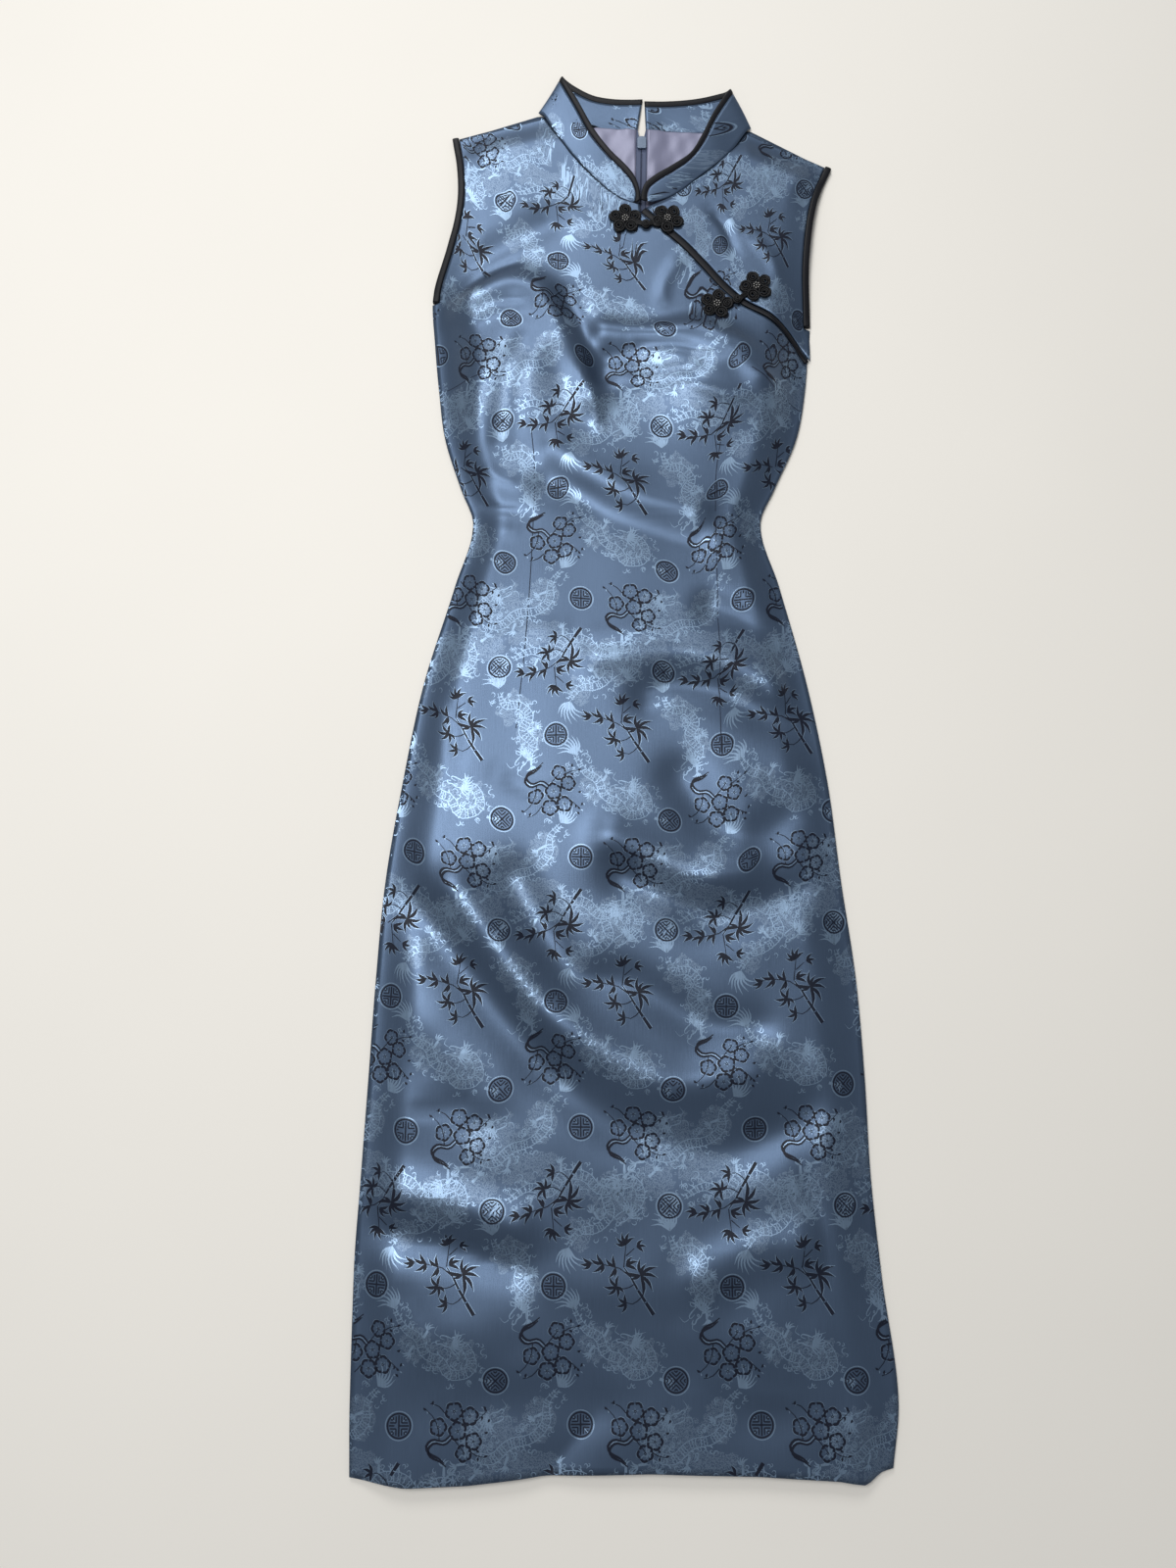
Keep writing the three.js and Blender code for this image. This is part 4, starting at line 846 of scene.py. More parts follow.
def makeCollar(side, rows, neckEdge, inward):
    neckSeam = sideShift(spaced(neckEdge, 25), inward * collarSizes["gap"])
    placed = []
    for kind, *row in rows:
        if kind == "front":
            share, tx, ty, tz = row
            sx, sy = alongCurve(neckSeam, [1 - share])[0]
            placed.append((sx, sy, float(frontHeight(sx, sy, False)) - cloth["wall"] / 2, tx, ty, tz))
        else:
            sx, sy, sz, tx, ty, tz = row
            lift = (lambda x, y: float(tentLift(x, y))) if kind == "back" else (lambda x, y: 0)
            placed.append((sx, sy, sz + lift(sx, sy), tx, ty, tz + lift(tx, ty)))
    placed = np.array(placed)
    shares = np.linspace(0, 1, collarSizes["stations"])
    seam, top = curveAt(placed[:, :3], shares), curveAt(placed[:, 3:], shares)
    width = np.linalg.norm(top - seam, axis=1)
    clothShare = 1 - boundInset / width
    keep = clothShare * width > collarSizes["least"]
    across = np.linspace(0, 1, collarSizes["across"])
    reach = clothShare[keep][:, None] * across
    spans = seam[keep][:, None] + (top - seam)[keep][:, None] * reach[..., None]
    bow = np.sin(math.pi * across)[None, :] * 0.5  # the stiffened collar bows a little
    normals = gridNormals(spans)
    middle = spans + normals * bow[..., None]
    half = cloth["wall"] / 2
    name = "collar_" + side
    trims[name] = makeShell(name + "_cloth", middle + normals * half, cloth["wall"], finishes["ground"],
                            middle - normals * half)
    faceOut(trims[name])
    inner = seam + (top - seam) * (1 - cloth["binding"] / width)[:, None]
    ribbon = makeRibbon("collar_binding_%s_strip" % side, inner, top, cloth["bindingWall"],
                        finishes["binding"])
    faceOut(ribbon)
    trims["collar_binding_" + side] = ribbon


makeCollar("left", collarLeft, neckLeft, -1)
makeCollar("right", collarRight, neckRight, 1)


def makeArmholeBinding(side, run, inward):
    run = spaced(run, 61)
    inner = sideShift(run, inward * cloth["binding"])
    backLevel = cloth["bindingWall"] / 2
    frontLevel = backLevel + cloth["bindingWall"] + 2 * cloth["gap"]

    def level(points):
        return np.maximum(frontHeight(points[:, 0], points[:, 1], False) - cloth["wall"] / 2, frontLevel)
    front = [np.column_stack([edge, level(edge)]) for edge in (inner, run)]
    for edge in front:
        edge[-4:, 2] = mix(edge[-4:, 2], frontLevel, np.array([0.25, 0.5, 0.8, 1]))
    way = front[1][-1] - front[1][-2]
    way[2] = 0
    way /= np.linalg.norm(way)
    radius = (frontLevel - backLevel) / 2
    turns = np.linspace(0, math.pi, 8)[1:-1]
    edges = []
    for edge in front:
        turn = np.array([edge[-1] + way * radius * math.sin(a) for a in turns])
        turn[:, 2] = backLevel + radius + radius * np.cos(turns)
        back = edge[::-1].copy()
        back[:, 2] = backLevel
        edges.append(np.concatenate([edge, turn, back]))
    name = "armhole_binding_" + side
    trims[name] = makeRibbon(name + "_strip", edges[0], edges[1], cloth["bindingWall"], finishes["binding"])
    faceOut(trims[name])


makeArmholeBinding("left", leftArm, -1)
makeArmholeBinding("right", rightArm, 1)

placket = {"steps": 120, "narrowFrom": 0.42, "narrow": 0.72}  # the strip narrows towards the armhole
run = spaced(diagonalRun, placket["steps"])
share = np.linspace(0, 1, placket["steps"])
half = cloth["binding"] / 2 * mix(placket["narrow"], 1, smooth((share - placket["narrowFrom"] + 0.1) / 0.2))
edges = [run + side * half[:, None] * (sideShift(run, 1) - run) for side in (1, -1)]
edges = [np.column_stack([edge, frontHeight(edge[:, 0], edge[:,
    1]) - cloth["wall"] / 2 + 0.3]) for edge in edges]
trims["placket_binding"] = makeRibbon("placket_binding_strip", *edges, cloth["bindingWall"],
                                      finishes["binding"])
faceOut(trims["placket_binding"])

# Back neck lining: outer edges from low to high
lining = {"across": 26, "rows": 60, "wall": 1.0, "bow": 0.35,
          "left": [(-6, 505), (-16, 532), (-22, 549), (-28, 562), (-33, 575), (-39, 588), (-44, 600)],
          "right": [(50, 505), (64, 532), (73, 547), (81, 559), (88, 570), (96, 580), (104, 590.4)],
          "seam": [505, 532, 548, 560, 572, 583, 593.4]}
insideLevel = cloth["wall"] + cloth["gap"]
for side, sign in (("left", -1), ("right", 1)):
    outer = finer(lining[side], lining["rows"] // 6)
    ys = finer(np.array(lining["seam"], float)[:, None], lining["rows"] // 6)[:, 0]
    inner = np.stack([centreX(ys) + sign * (zipSizes["tape"] / 2 + cloth["gap"]), ys], axis=1)
    shares = np.linspace(0, 1, lining["across"])
    x = mix(inner[:, [0]], outer[:, [0]], shares)
    y = mix(inner[:, [1]], outer[:, [1]], shares)
    pucker = 0.25 + lining["bow"] * (np.sin(0.42 * x + 0.09 * y) + np.sin(0.23 * y - 0.31 * x)) / 2
    z = insideLevel + tentLift(x, y, tent["spread"]) + np.maximum(pucker, 0)
    low = np.stack([x, y, insideLevel + tentLift(x, y, tent["spread"])], axis=-1)
    top = np.stack([x, y, z + lining["wall"]], axis=-1)
    name = "neck_lining_" + side
    trims[name] = makeShell(name + "_cloth", top, lining["wall"], finishes["lining"], low)
    faceOut(trims[name])
    tapeYs = np.linspace(zipSizes["bottom"], 593.4, 200)
    offsets = [halfOpen(tapeYs) + 0.1, np.full(len(tapeYs), zipSizes["tape"] / 2)]
    edges = [np.stack([centreX(tapeYs) + sign * off, tapeYs], axis=1) for off in offsets]
    spans = mix(edges[0][:, None], edges[1][:, None], np.linspace(0, 1, 6)[None, :, None])
    base = insideLevel + tentLift(spans[..., 0], spans[..., 1], tent["spread"])
    low = np.concatenate([spans, base[..., None]], axis=-1)
    name = "zip_tape_" + side
    trims[name] = makeShell(name + "_cloth", low + np.array([0, 0, 1.0]), 1.0, finishes["tape"], low)
    faceOut(trims[name])

# Node trees


def treeWith(name, inputs):
    tree = bpy.data.node_groups.new(name, "GeometryNodeTree")
    tree.is_modifier = True
    tree.interface.new_socket("Geometry", in_out="INPUT", socket_type="NodeSocketGeometry")
    for label, kind, value in inputs:
        socket = tree.interface.new_socket(label, in_out="INPUT", socket_type=kind)
        if value is not None:
            socket.default_value = value
    tree.interface.new_socket("Geometry", in_out="OUTPUT", socket_type="NodeSocketGeometry")
    return tree, tree.nodes.new("NodeGroupInput"), tree.nodes.new("NodeGroupOutput")


def runTree(source, tree, values, name, material):
    # Runs the tree on source, and leaves one plain mesh piece
    modifier = source.modifiers.new("made", "NODES")
    modifier.node_group = tree
    for item in tree.interface.items_tree:
        if item.item_type == "SOCKET" and item.in_out == "INPUT" and item.name in values:
            modifier[item.identifier] = values[item.name]
    bpy.context.view_layer.update()
    ready = source.evaluated_get(bpy.context.evaluated_depsgraph_get())
    mesh = bpy.data.meshes.new_from_object(ready)
    mesh.name = name
    source.modifiers.remove(modifier)
    mesh.materials.clear()
    mesh.materials.append(material)
    piece = bpy.data.objects.new(name, mesh)
    bpy.context.collection.objects.link(piece)
    bpy.data.objects.remove(source)
    return piece


def makeCordTree():
    # A round cord along each line of the input
    tree, start, end = treeWith("roundCord", [
        ("Radius", "NodeSocketFloat", 0.001), ("Sides", "NodeSocketInt", 8),
                                              ("Material", "NodeSocketMaterial", None)])
    nodes, links = tree.nodes, tree.links
    toCurve = nodes.new("GeometryNodeMeshToCurve")
    ring = nodes.new("GeometryNodeCurvePrimitiveCircle")
    sweep = nodes.new("GeometryNodeCurveToMesh")
    sweep.inputs["Fill Caps"].default_value = True
    soft = nodes.new("GeometryNodeSetShadeSmooth")
    realize = nodes.new("GeometryNodeRealizeInstances")
    finish = nodes.new("GeometryNodeSetMaterial")
    links.new(start.outputs["Geometry"], toCurve.inputs["Mesh"])
    links.new(start.outputs["Radius"], ring.inputs["Radius"])
    links.new(start.outputs["Sides"], ring.inputs["Resolution"])
    links.new(toCurve.outputs["Curve"], sweep.inputs["Curve"])
    links.new(ring.outputs["Curve"], sweep.inputs["Profile Curve"])
    links.new(sweep.outputs["Mesh"], soft.inputs["Geometry"])
    links.new(soft.outputs["Geometry"], realize.inputs["Geometry"])
    links.new(realize.outputs["Geometry"], finish.inputs["Geometry"])
    links.new(start.outputs["Material"], finish.inputs["Material"])
    links.new(finish.outputs["Geometry"], end.inputs["Geometry"])
    return tree


cordTree = makeCordTree()


def makeCords(name, paths, radius, material, sides=8):
    points, edges = [], []
    for path in paths:
        first = len(points)
        points += [tuple(np.array(p) * mm) for p in path]
        edges += [(first + i, first + i + 1) for i in range(len(path) - 1)]
    mesh = bpy.data.meshes.new(name + "_paths")
    mesh.from_pydata(points, edges, [])
    source = bpy.data.objects.new(name + "_paths", mesh)
    bpy.context.collection.objects.link(source)
    values = {"Radius": radius * mm, "Sides": sides, "Material": material}
    piece = runTree(source, cordTree, values, name, material)
    faceOut(piece)
    return piece


# Frog fastenings, coiled from satin cord
frogCord = {"radius": 0.92, "petalTurns": 2.6, "petalOuter": 6.0, "petalInner": 1.0, "petalAt": 9.9,
            "dome": 1.2,
            "knotTurns": 3.0, "knotRadius": 4.6, "knotDome": 2.6, "bead": 0.5, "beads": 8, "beadsAt": 2.7}
frogTurns = {"frog_1": (0.3, 0.9), "frog_2": (0.1, 0.6)}


def boxMiddle(node):
    low, high = (np.array([float(v) for v in corner]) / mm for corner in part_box(node))
    return (low + high) / 2


def coil(cx, cy, z, outer, inner, turns, dome, begin=0.0, steps=22):
    angles = np.linspace(0, turns * 2 * math.pi, int(turns * steps) + 1)
    reach = mix(outer, inner, angles / angles[-1])
    return np.stack([cx + reach * np.cos(angles + begin), cy + reach * np.sin(angles + begin),
                     z + dome * (1 - (reach / outer) ** 2)], axis=1)


def addBead(points, faces, middle, radius):
    rings, sides = 5, 8
    first = len(points)
    points.append((middle[0], middle[1], middle[2] + radius))
    for r in range(1, rings):
        a = math.pi * r / rings
        for s in range(sides):
            b = 2 * math.pi * s / sides
            points.append((middle[0] + radius * math.sin(a) * math.cos(b),
                           middle[1] + radius * math.sin(a) * math.sin(b), middle[2] + radius * math.cos(a)))
    points.append((middle[0], middle[1], middle[2] - radius))
    last = len(points) - 1
    for s in range(sides):
        t = (s + 1) % sides
        faces.append([first, first + 1 + s, first + 1 + t])
        faces.append([last, last - sides + t, last - sides + s])
        for r in range(rings - 2):
            a, b = first + 1 + r * sides + s, first + 1 + r * sides + t
            faces.append([a, a + sides, b + sides, b])


frogPieces = {}
for frog, turns in frogTurns.items():
    knotMiddle = boxMiddle(frog + "_knot")
    beadPoints, beadFaces = [], []
    for side, turn in zip(("left", "right"), turns):
        node = "%s_flower_%s" % (frog, side)
        middle = boxMiddle(node)
        paths = []
        for petal in range(5):
            a = turn + 2 * math.pi * petal / 5
            cx = middle[0] + frogCord["petalAt"] * math.cos(a)
            cy = middle[1] + frogCord["petalAt"] * math.sin(a)
            z = float(frontHeight(cx, cy)) + frogCord["radius"] + 0.5
            paths.append(coil(cx, cy, z, frogCord["petalOuter"], frogCord["petalInner"],
                              frogCord["petalTurns"], frogCord["dome"], a))
            paths.append(coil(cx, cy, z + 0.9, frogCord["petalOuter"] - 0.4, frogCord["petalOuter"] - 1.2,
                              1.05, 0.2, a + 0.5))
        z = float(frontHeight(middle[0], middle[1])) + 1.6
        paths.append(coil(middle[0], middle[1], z + 0.6, 4.2, 0.8, 2.4, 0.8, turn))
        frogPieces[node] = makeCords(node + "_coils", paths, frogCord["radius"], finishes["cord"])
        for i in range(frogCord["beads"]):
            a = 2 * math.pi * i / (frogCord["beads"] - 1)
            reach = 0 if i == frogCord["beads"] - 1 else frogCord["beadsAt"]
            bead = (middle[0] + reach * math.cos(a), middle[1] + reach * math.sin(a), z + 2.5)
            addBead(beadPoints, beadFaces, bead, frogCord["bead"])
    frogPieces[frog + "_beads"] = addMesh(frog + "_beads", beadPoints, beadFaces, finishes["bead"])
    z = float(frontHeight(knotMiddle[0], knotMiddle[1])) + 2.2
    knot = [coil(knotMiddle[0], knotMiddle[1], z, frogCord["knotRadius"], 0.7, frogCord["knotTurns"],
                 frogCord["knotDome"]),
            coil(knotMiddle[0], knotMiddle[1], z - 1.4, frogCord["knotRadius"] - 0.5, 2.4, 1.2, 0.2)]
    frogPieces[frog + "_knot"] = makeCords(frog + "_knot_coils", knot, 0.85, finishes["cord"])
    for part, side in (("stem", "left"), ("loop", "right")):
        middle = boxMiddle("%s_flower_%s" % (frog, side))
        way = knotMiddle - middle
        way[2] = 0
        length = np.linalg.norm(way)
        way /= length
        aside = np.array([-way[1], way[0], 0])
        cords = []
        for offset in (-1.9, -0.65, 0.65, 1.9):
            path = []
            for t in np.linspace(0, 1, 12):
                p = middle + way * mix(4.0, length - (1.0 if part == "loop" else 2.5), t) + aside * offset
                p[2] = float(frontHeight(p[0], p[1])) + frogCord["radius"] + 0.7 + 0.8 * t
                path.append(p)
            cords.append(path)
        node = frog + "_" + part
        frogPieces[node] = makeCords(node + "_cords", cords, 0.7, finishes["cord"])
print("frog fastenings coiled")

# Small coil of the zip, where it shows in the neck
zipCoil = {"from": 512, "to": 567, "pitch": 0.95, "radius": 0.28, "reach": 0.9}
paths = []
for sign in (-1, 1):
    for y in np.arange(zipCoil["from"], zipCoil["to"], zipCoil["pitch"]):
        x = centreX(y)
        base = insideLevel + 1.15 + float(tentLift(x, y, tent["spread"]))
        paths.append([(x + sign * 0.1, y + sign * 0.2, base),
                      (x + sign * zipCoil["reach"], y + sign * 0.2, base + 0.12)])
zipCoilPiece = makeCords("zip_coil", paths, zipCoil["radius"], finishes["tape"], 6)

# Carried-over hard pieces take the enamel
for node in ("zip_slider", "pull_tab"):
    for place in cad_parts[node].material_slots:
        place.link = "OBJECT"
        place.material = finishes["slider"]
print("trims made")

# Brocade


class Strokes:
    # Flat ribbons and leaves of woven thread
    def __init__(self):
        self.points, self.faces = [], []

    def line(self, path, widths, steps=None):
        steps = steps or 3 * len(path)
        run = spaced(path, steps)
        widths = np.interp(np.linspace(0, 1, steps), np.linspace(0, 1, len(widths)), widths)
        way = np.gradient(run, axis=0)
        way /= np.maximum(np.linalg.norm(way, axis=1), 1e-9)[:, None]
        side = np.stack([-way[:, 1], way[:, 0]], axis=1) * widths[:, None] / 2
        first = len(self.points)
        for a, b in zip(run + side, run - side):
            self.points += [tuple(a), tuple(b)]
        for i in range(steps - 1):
            k = first + 2 * i
            self.faces.append((k, k + 1, k + 3, k + 2))

    def leaf(self, x, y, angle, length, width, bend=0.12):
        c, s = math.cos(angle), math.sin(angle)
        tip = (x + length * c, y + length * s)
        middle = (x + length * 0.5 * c - bend * length * s, y + length * 0.5 * s + bend * length * c)
        self.line([(x, y), middle, tip], [0.3, width * 0.8, width, width * 0.5, 0.1], 6)

    def arc(self, x, y, radius, start, sweep, width, steps):
        angles = np.linspace(start, start + sweep, steps)
        path = np.stack([x + radius * np.cos(angles), y + radius * np.sin(angles)], axis=1)
        first = len(self.points)
        for (px, py), a in zip(path, angles):
            self.points += [(px + math.cos(a) * width / 2, py + math.sin(a) * width / 2),
                            (px - math.cos(a) * width / 2, py - math.sin(a) * width / 2)]
        for i in range(steps - 1):
            k = first + 2 * i
            self.faces.append((k, k + 1, k + 3, k + 2))


pale, dark = Strokes(), Strokes()
chance = np.random.default_rng(repeat["seed"])


def medallion(x, y, banded):
    # A round longevity mark: a double ring with straight bars inside
    radius = 11.2
    pale.arc(x, y, radius, 0, 2 * math.pi, 0.9, 29)
    dark.arc(x, y, radius - 1.7, 0, 2 * math.pi, 1.3, 27)
    turn = math.pi / 4 if banded else 0
    c, s = math.cos(turn), math.sin(turn)

    def bar(ax, ay, bx, by, width=1.0):
        dark.line([(x + ax * c - ay * s, y + ax * s + ay * c), (x + bx * c - by * s, y + bx * s + by * c)],
                  [width, width], 2)
    bar(0, -8.2, 0, 8.2, 1.2)
    bar(-8.2, 0, 8.2, 0, 1.2)
    for sx in (-1, 1):
        for sy in (-1, 1):
            bar(sx * 2.3, sy * 2.3, sx * 2.3, sy * 7.4)
            bar(sx * 2.3, sy * 2.3, sx * 7.4, sy * 2.3)
            bar(sx * 4.6, sy * 4.6, sx * 4.6, sy * 6.6)
            bar(sx * 4.6, sy * 4.6, sx * 6.6, sy * 4.6)
            if not banded:
                pale.line([(x + sx * 3.4, y + sy * 3.4), (x + sx * 6.4, y + sy * 6.4)], [0.5, 0.5], 2)


bambooSizes = {"leafWidth": 3.1, "halo": 0.9, "bend": 0.1}


def bamboo(x, y, flip):
    # A jointed stalk with sprays of pointed leaves. flip is -1 for the spray that hangs from above.
    def at(dx, dy):
        return (x + dx, y + flip * dy)
    stalk = [(28, -33), (21, -22.5), (14.5, -12.5), (9, -3), (3, 5)]
    for i in range(len(stalk) - 1):
        (ax, ay), (bx, by) = stalk[i], stalk[i + 1]
        start, stop = at(mix(ax, bx, 0.04), mix(ay, by, 0.04)), at(mix(ax, bx, 0.94), mix(ay, by, 0.94))
        pale.line([start, stop], [4.3 - 0.7 * i, 3.9 - 0.7 * i], 2)
        dark.line([start, stop], [3.1 - 0.6 * i, 2.7 - 0.6 * i], 2)
    twigs = [[(9, -3), (0, 4), (-12, 7), (-24, 9)], [(3, 5), (4, 14), (5, 23)], [(5, 14), (12, 20)],
             [(12, -8), (4, -12), (-2, -10)], [(18, -18), (11, -24), (5, -23)]]
    for twig in twigs:
        dark.line([at(*p) for p in twig], [0.9, 0.5], 4)
    sprays = [((17, -1), ((92, 13), (62, 10), (25, 15), (-8, 14), (-52, 16), (-85, 18), (168, 15), (200, 9))),
              ((-4, 5), ((100, 10), (140, 11), (235, 10), (260, 8))),
              ((-14, 8), ((125, 10), (160, 12), (215, 11), (250, 8))),
              ((-24, 9), ((150, 9), (185, 10), (215, 9))),
              ((5, 23), ((40, 9), (75, 10), (110, 10), (145, 10), (175, 9))),
              ((14, 21), ((5, 8), (50, 8), (-35, 7))),
              ((-3, -10), ((80, 9), (130, 10), (180, 11), (222, 10), (275, 9), (320, 8))),
              ((5, -23), ((100, 7), (150, 8), (200, 9), (245, 9))), ((5, 6), ((20, 11), (55, 9), (-20, 10)))]
    for (dx, dy), leaves in sprays:
        for angle, length in leaves:
            a = math.radians(angle) * flip
            px, py = at(dx, dy)
            width = bambooSizes["leafWidth"] * (0.7 + length / 40)
            pale.leaf(px, py, a, length * 1.08, width + bambooSizes["halo"], bambooSizes["bend"] * flip)
            dark.leaf(px, py, a, length, width, bambooSizes["bend"] * flip)


plumSizes = {"reach": 3.9, "petal": 2.85, "outline": 2.0, "bud": 2.0}


def plum(x, y, flip):
    # An angular branch with open blossoms and buds. flip is -1 where the branch comes from below.
    def at(dx, dy):
        return (x + dx, y + flip * dy)
    branch = [(-7, 27), (-12, 23), (-20, 19), (-22, 14), (-17, 9), (-8, 10), (-2, 5)]
    for side in (-1.3, 1.3):
        dark.line([at(dx + side * 0.5, dy + side) for dx, dy in branch], [0.8, 2.0, 2.2, 1.6, 1.1], 16)
    pale.line([at(dx, dy) for dx, dy in branch], [0.5, 1.1, 1.1, 0.6], 16)
    for twig in ([(-2, 5), (4, 12), (9, 18)], [(-12, 9), (-13, 0), (-16, -8), (-23, -15)],
                 [(8, -2), (18, -6), (27, -14)],
                 [(-7, -12), (-13, -18), (-20, -20)], [(12, 16), (19, 20), (25, 21)]):
        dark.line([at(*p) for p in twig], [0.9, 0.5], 5)
    blossoms = [(-13, -2, 1.0), (3, 1, 1.05), (0, -14, 1.05), (13, -10, 1.0), (8, 18, 0.95), (16, 9, 0.95)]
    for k, (dx, dy, size) in enumerate(blossoms):
        bx, by = at(dx, dy)
        for petal in range(5):
            a = 0.5 * k + 2 * math.pi * petal / 5
            reach = plumSizes["reach"] * size
            px, py = bx + reach * math.cos(a), by + reach * math.sin(a)
            dark.arc(px, py, plumSizes["petal"] * size, a - 1.25, 2.5, plumSizes["outline"], 6)
            pale.arc(px, py, (plumSizes["petal"] + 1.3) * size, a - 0.9, 1.8, 0.45, 4)
            pale.line([(bx, by), (bx + reach * 0.7 * math.cos(a + 0.6),
                                  by + reach * 0.7 * math.sin(a + 0.6))], [0.4, 0.4], 2)
        dark.arc(bx, by, 0.8 * size, 0, 2 * math.pi, 0.7, 6)
    for dx, dy in ((25, 21), (21, 17), (27, -14), (23, -10), (29, -8), (-23, -15), (-18, -19), (24, -17),
                   (20, 24), (28, 2)):
        bx, by = at(dx, dy)
        dark.leaf(bx, by, 0.4 + dx, plumSizes["bud"] * 1.6, plumSizes["bud"])
        pale.leaf(bx + 0.6, by - 0.8, 0.9 + dy, 2.4, 1.2)


def curl(x, y, radius, begin, turn, width=0.8):
    angles = np.linspace(0, 4.4, 6)
    reach = radius * (1 - angles / 6.2)
    path = np.stack([x + reach * np.cos(begin + turn * angles), y + reach * np.sin(begin + turn * angles)],
                    axis=1)
    pale.line(path, [0.25, width, width, 0.3], 6)


dragonSizes = {"body": 8.0, "scale": 3.0, "hair": 21.0, "claw": 6.5, "cloud": 3.1}


def dragon(spine, fan, fanAngle, clawAt, cloudReach, clouds):
    # A scaled body along the spine, a fan of tail hairs, a maned head at its end, claws and cloud curls
    run = spaced(spine, 60)
    way = np.gradient(run, axis=0)
    way /= np.linalg.norm(way, axis=1)[:, None]
    normal = np.stack([-way[:, 1], way[:, 0]], axis=1)
    breadth = dragonSizes["body"] / 2 * np.interp(np.linspace(0, 1, 60), [0, 0.2, 0.7, 1],
                                                  [0.25, 0.85, 1.0, 0.75])
    for side in (-1, 1):
        edge = run + normal * side * breadth[:, None]
        pale.line(edge[::3], [0.5, 0.8, 0.8, 0.5], 28)
    total = np.linalg.norm(np.diff(run, axis=0), axis=1).sum()
    rows = int(total / dragonSizes["scale"])
    for i in range(1, rows):
        k = int(i / rows * 59)
        angle = math.atan2(way[k][1], way[k][0])
        shifts = (-0.55, 0, 0.55) if i % 2 else (-0.28, 0.28)
        for shift in shifts:
            px, py = run[k] + normal[k] * shift * breadth[k] * 1.3
            pale.arc(px, py, dragonSizes["scale"] * 0.55, angle - 1.3, 2.6, 0.75, 5)
        if i % 2:  # fins down the back
            px, py = run[k] + normal[k] * breadth[k]
            pale.leaf(px, py, angle + 2.2, 3.8, 1.5)
    for i in range(7):  # tail hairs
        a = math.radians(fanAngle) + (i - 3) * 0.27
        x, y = fan
        length = dragonSizes["hair"] * (1 - 0.07 * abs(i - 3))
        mid = (x + 0.55 * length * math.cos(a - 0.18), y + 0.55 * length * math.sin(a - 0.18))
        pale.line([(x, y), mid, (x + length * math.cos(a + 0.15), y + length * math.sin(a + 0.15))],
                  [0.5, 1.9, 1.2, 0.2], 7)
    hx, hy = run[-1]
    facing = math.atan2(way[-1][1], way[-1][0])
    for i in range(9):  # mane
        a = facing + math.pi + (i - 4) * 0.33
        pale.line([(hx, hy), (hx + 6 * math.cos(a), hy + 6 * math.sin(a)),
                   (hx + 11 * math.cos(a + 0.3), hy + 11 * math.sin(a + 0.3))], [0.8, 1.6, 0.2], 5)
    c, s = math.cos(facing), math.sin(facing)

    def face(u, v):
        return (hx + u * c - v * s, hy + u * s + v * c)
    pale.line([face(0, 3.2), face(4, 4.2), face(8, 3), face(12, 3.8), face(13.5, 2), face(10, 0.8)],
              [0.6, 1.2, 1.0, 0.6], 12)
    pale.line([face(0, -3.2), face(5, -3.8), face(10, -3.4), face(11, -1.6), face(6, -0.8)],
              [0.6, 1.1, 0.8, 0.4], 10)
    pale.arc(*face(4.6, 2.0), 0.9, 0, 2 * math.pi, 0.8, 7)
    for v, bend in ((4, 7), (-4, -6)):  # horns and whiskers
        pale.line([face(1, v), face(-4, v + bend * 0.5), face(-9, v + bend)], [1.2, 0.9, 0.2], 5)
        pale.line([face(12, v * 0.6), face(16, v), face(15, v + bend)], [0.6, 0.5, 0.15], 6)
    for x, y, angle in clawAt:
        a = math.radians(angle)
        pale.line([(x - 7 * math.cos(a), y - 7 * math.sin(a)), (x, y)], [2.6, 1.8], 4)
        for spread in (-0.75, -0.25, 0.25, 0.75):
            pale.leaf(x, y, a + spread, dragonSizes["claw"], 1.5, 0.2)
    for i in range(clouds):  # curling flames and clouds beside the body
        k = int(chance.uniform(0, 59))
        away = chance.uniform(0.7, 1.0) * cloudReach * (1 if chance.uniform() > 0.5 else -1)
        px, py = run[k] + normal[k] * (away + math.copysign(breadth[k], away) * 0.4) + chance.uniform(-2, 2,
            2)
        curl(px, py, dragonSizes["cloud"] * chance.uniform(0.6, 1.15), chance.uniform(0, 6.3),
             1 if chance.uniform() > 0.5 else -1)


medallion(0, 0, False)
medallion(-48, -75, True)
medallion(22.5, -110, False)
medallion(-52, 64, True)
bamboo(56, 10, 1)
bamboo(-5, 68, -1)
plum(-5, -53, 1)
plum(68, -113, -1)
dragon([(17, -18), (27, -34), (38, -40), (44, -54), (56, -58), (64, -70), (82, -66), (78, -48), (66, -44)],
       (18, -18), 125,
       [(95, -76, -20), (46, -34, 60), (30, -52, 230)], 8.5, 70)
dragon([(4, -82), (-6, -94), (-6, -108), (-18, -120), (-36, -124), (-52, -136), (-70, -128), (-64, -112),
        (-52, -106)],
       (4, -80), 60, [(-16, -104, 200), (-40, -140, 250), (-80, -140, 190)], 8.5, 66)
dragon([(12, 32), (22, 44), (36, 46), (48, 58), (44, 74), (56, 86), (72, 80), (72, 66), (62, 58)], (13, 31),
       265,
       [(86, 92, 40), (34, 60, 120), (60, 98, 90)], 8.5, 66)
dragon([(-52, 40), (-46, 28), (-34, 30), (-24, 20), (-30, 6), (-20, -6), (-28, -18)], (-52, 44), 110,
       [(-56, 52, 140), (-18, 8, 20), (-22, -26, 270)], 7.5, 54)
dragon([(-40, -168), (-22, -158), (-4, -164), (8, -150), (26, -150), (40, -162), (56, -158)], (-42, -170),
       200,
       [(64, -148, 40), (6, -140, 90), (-20, -172, 250)], 8.0, 60)


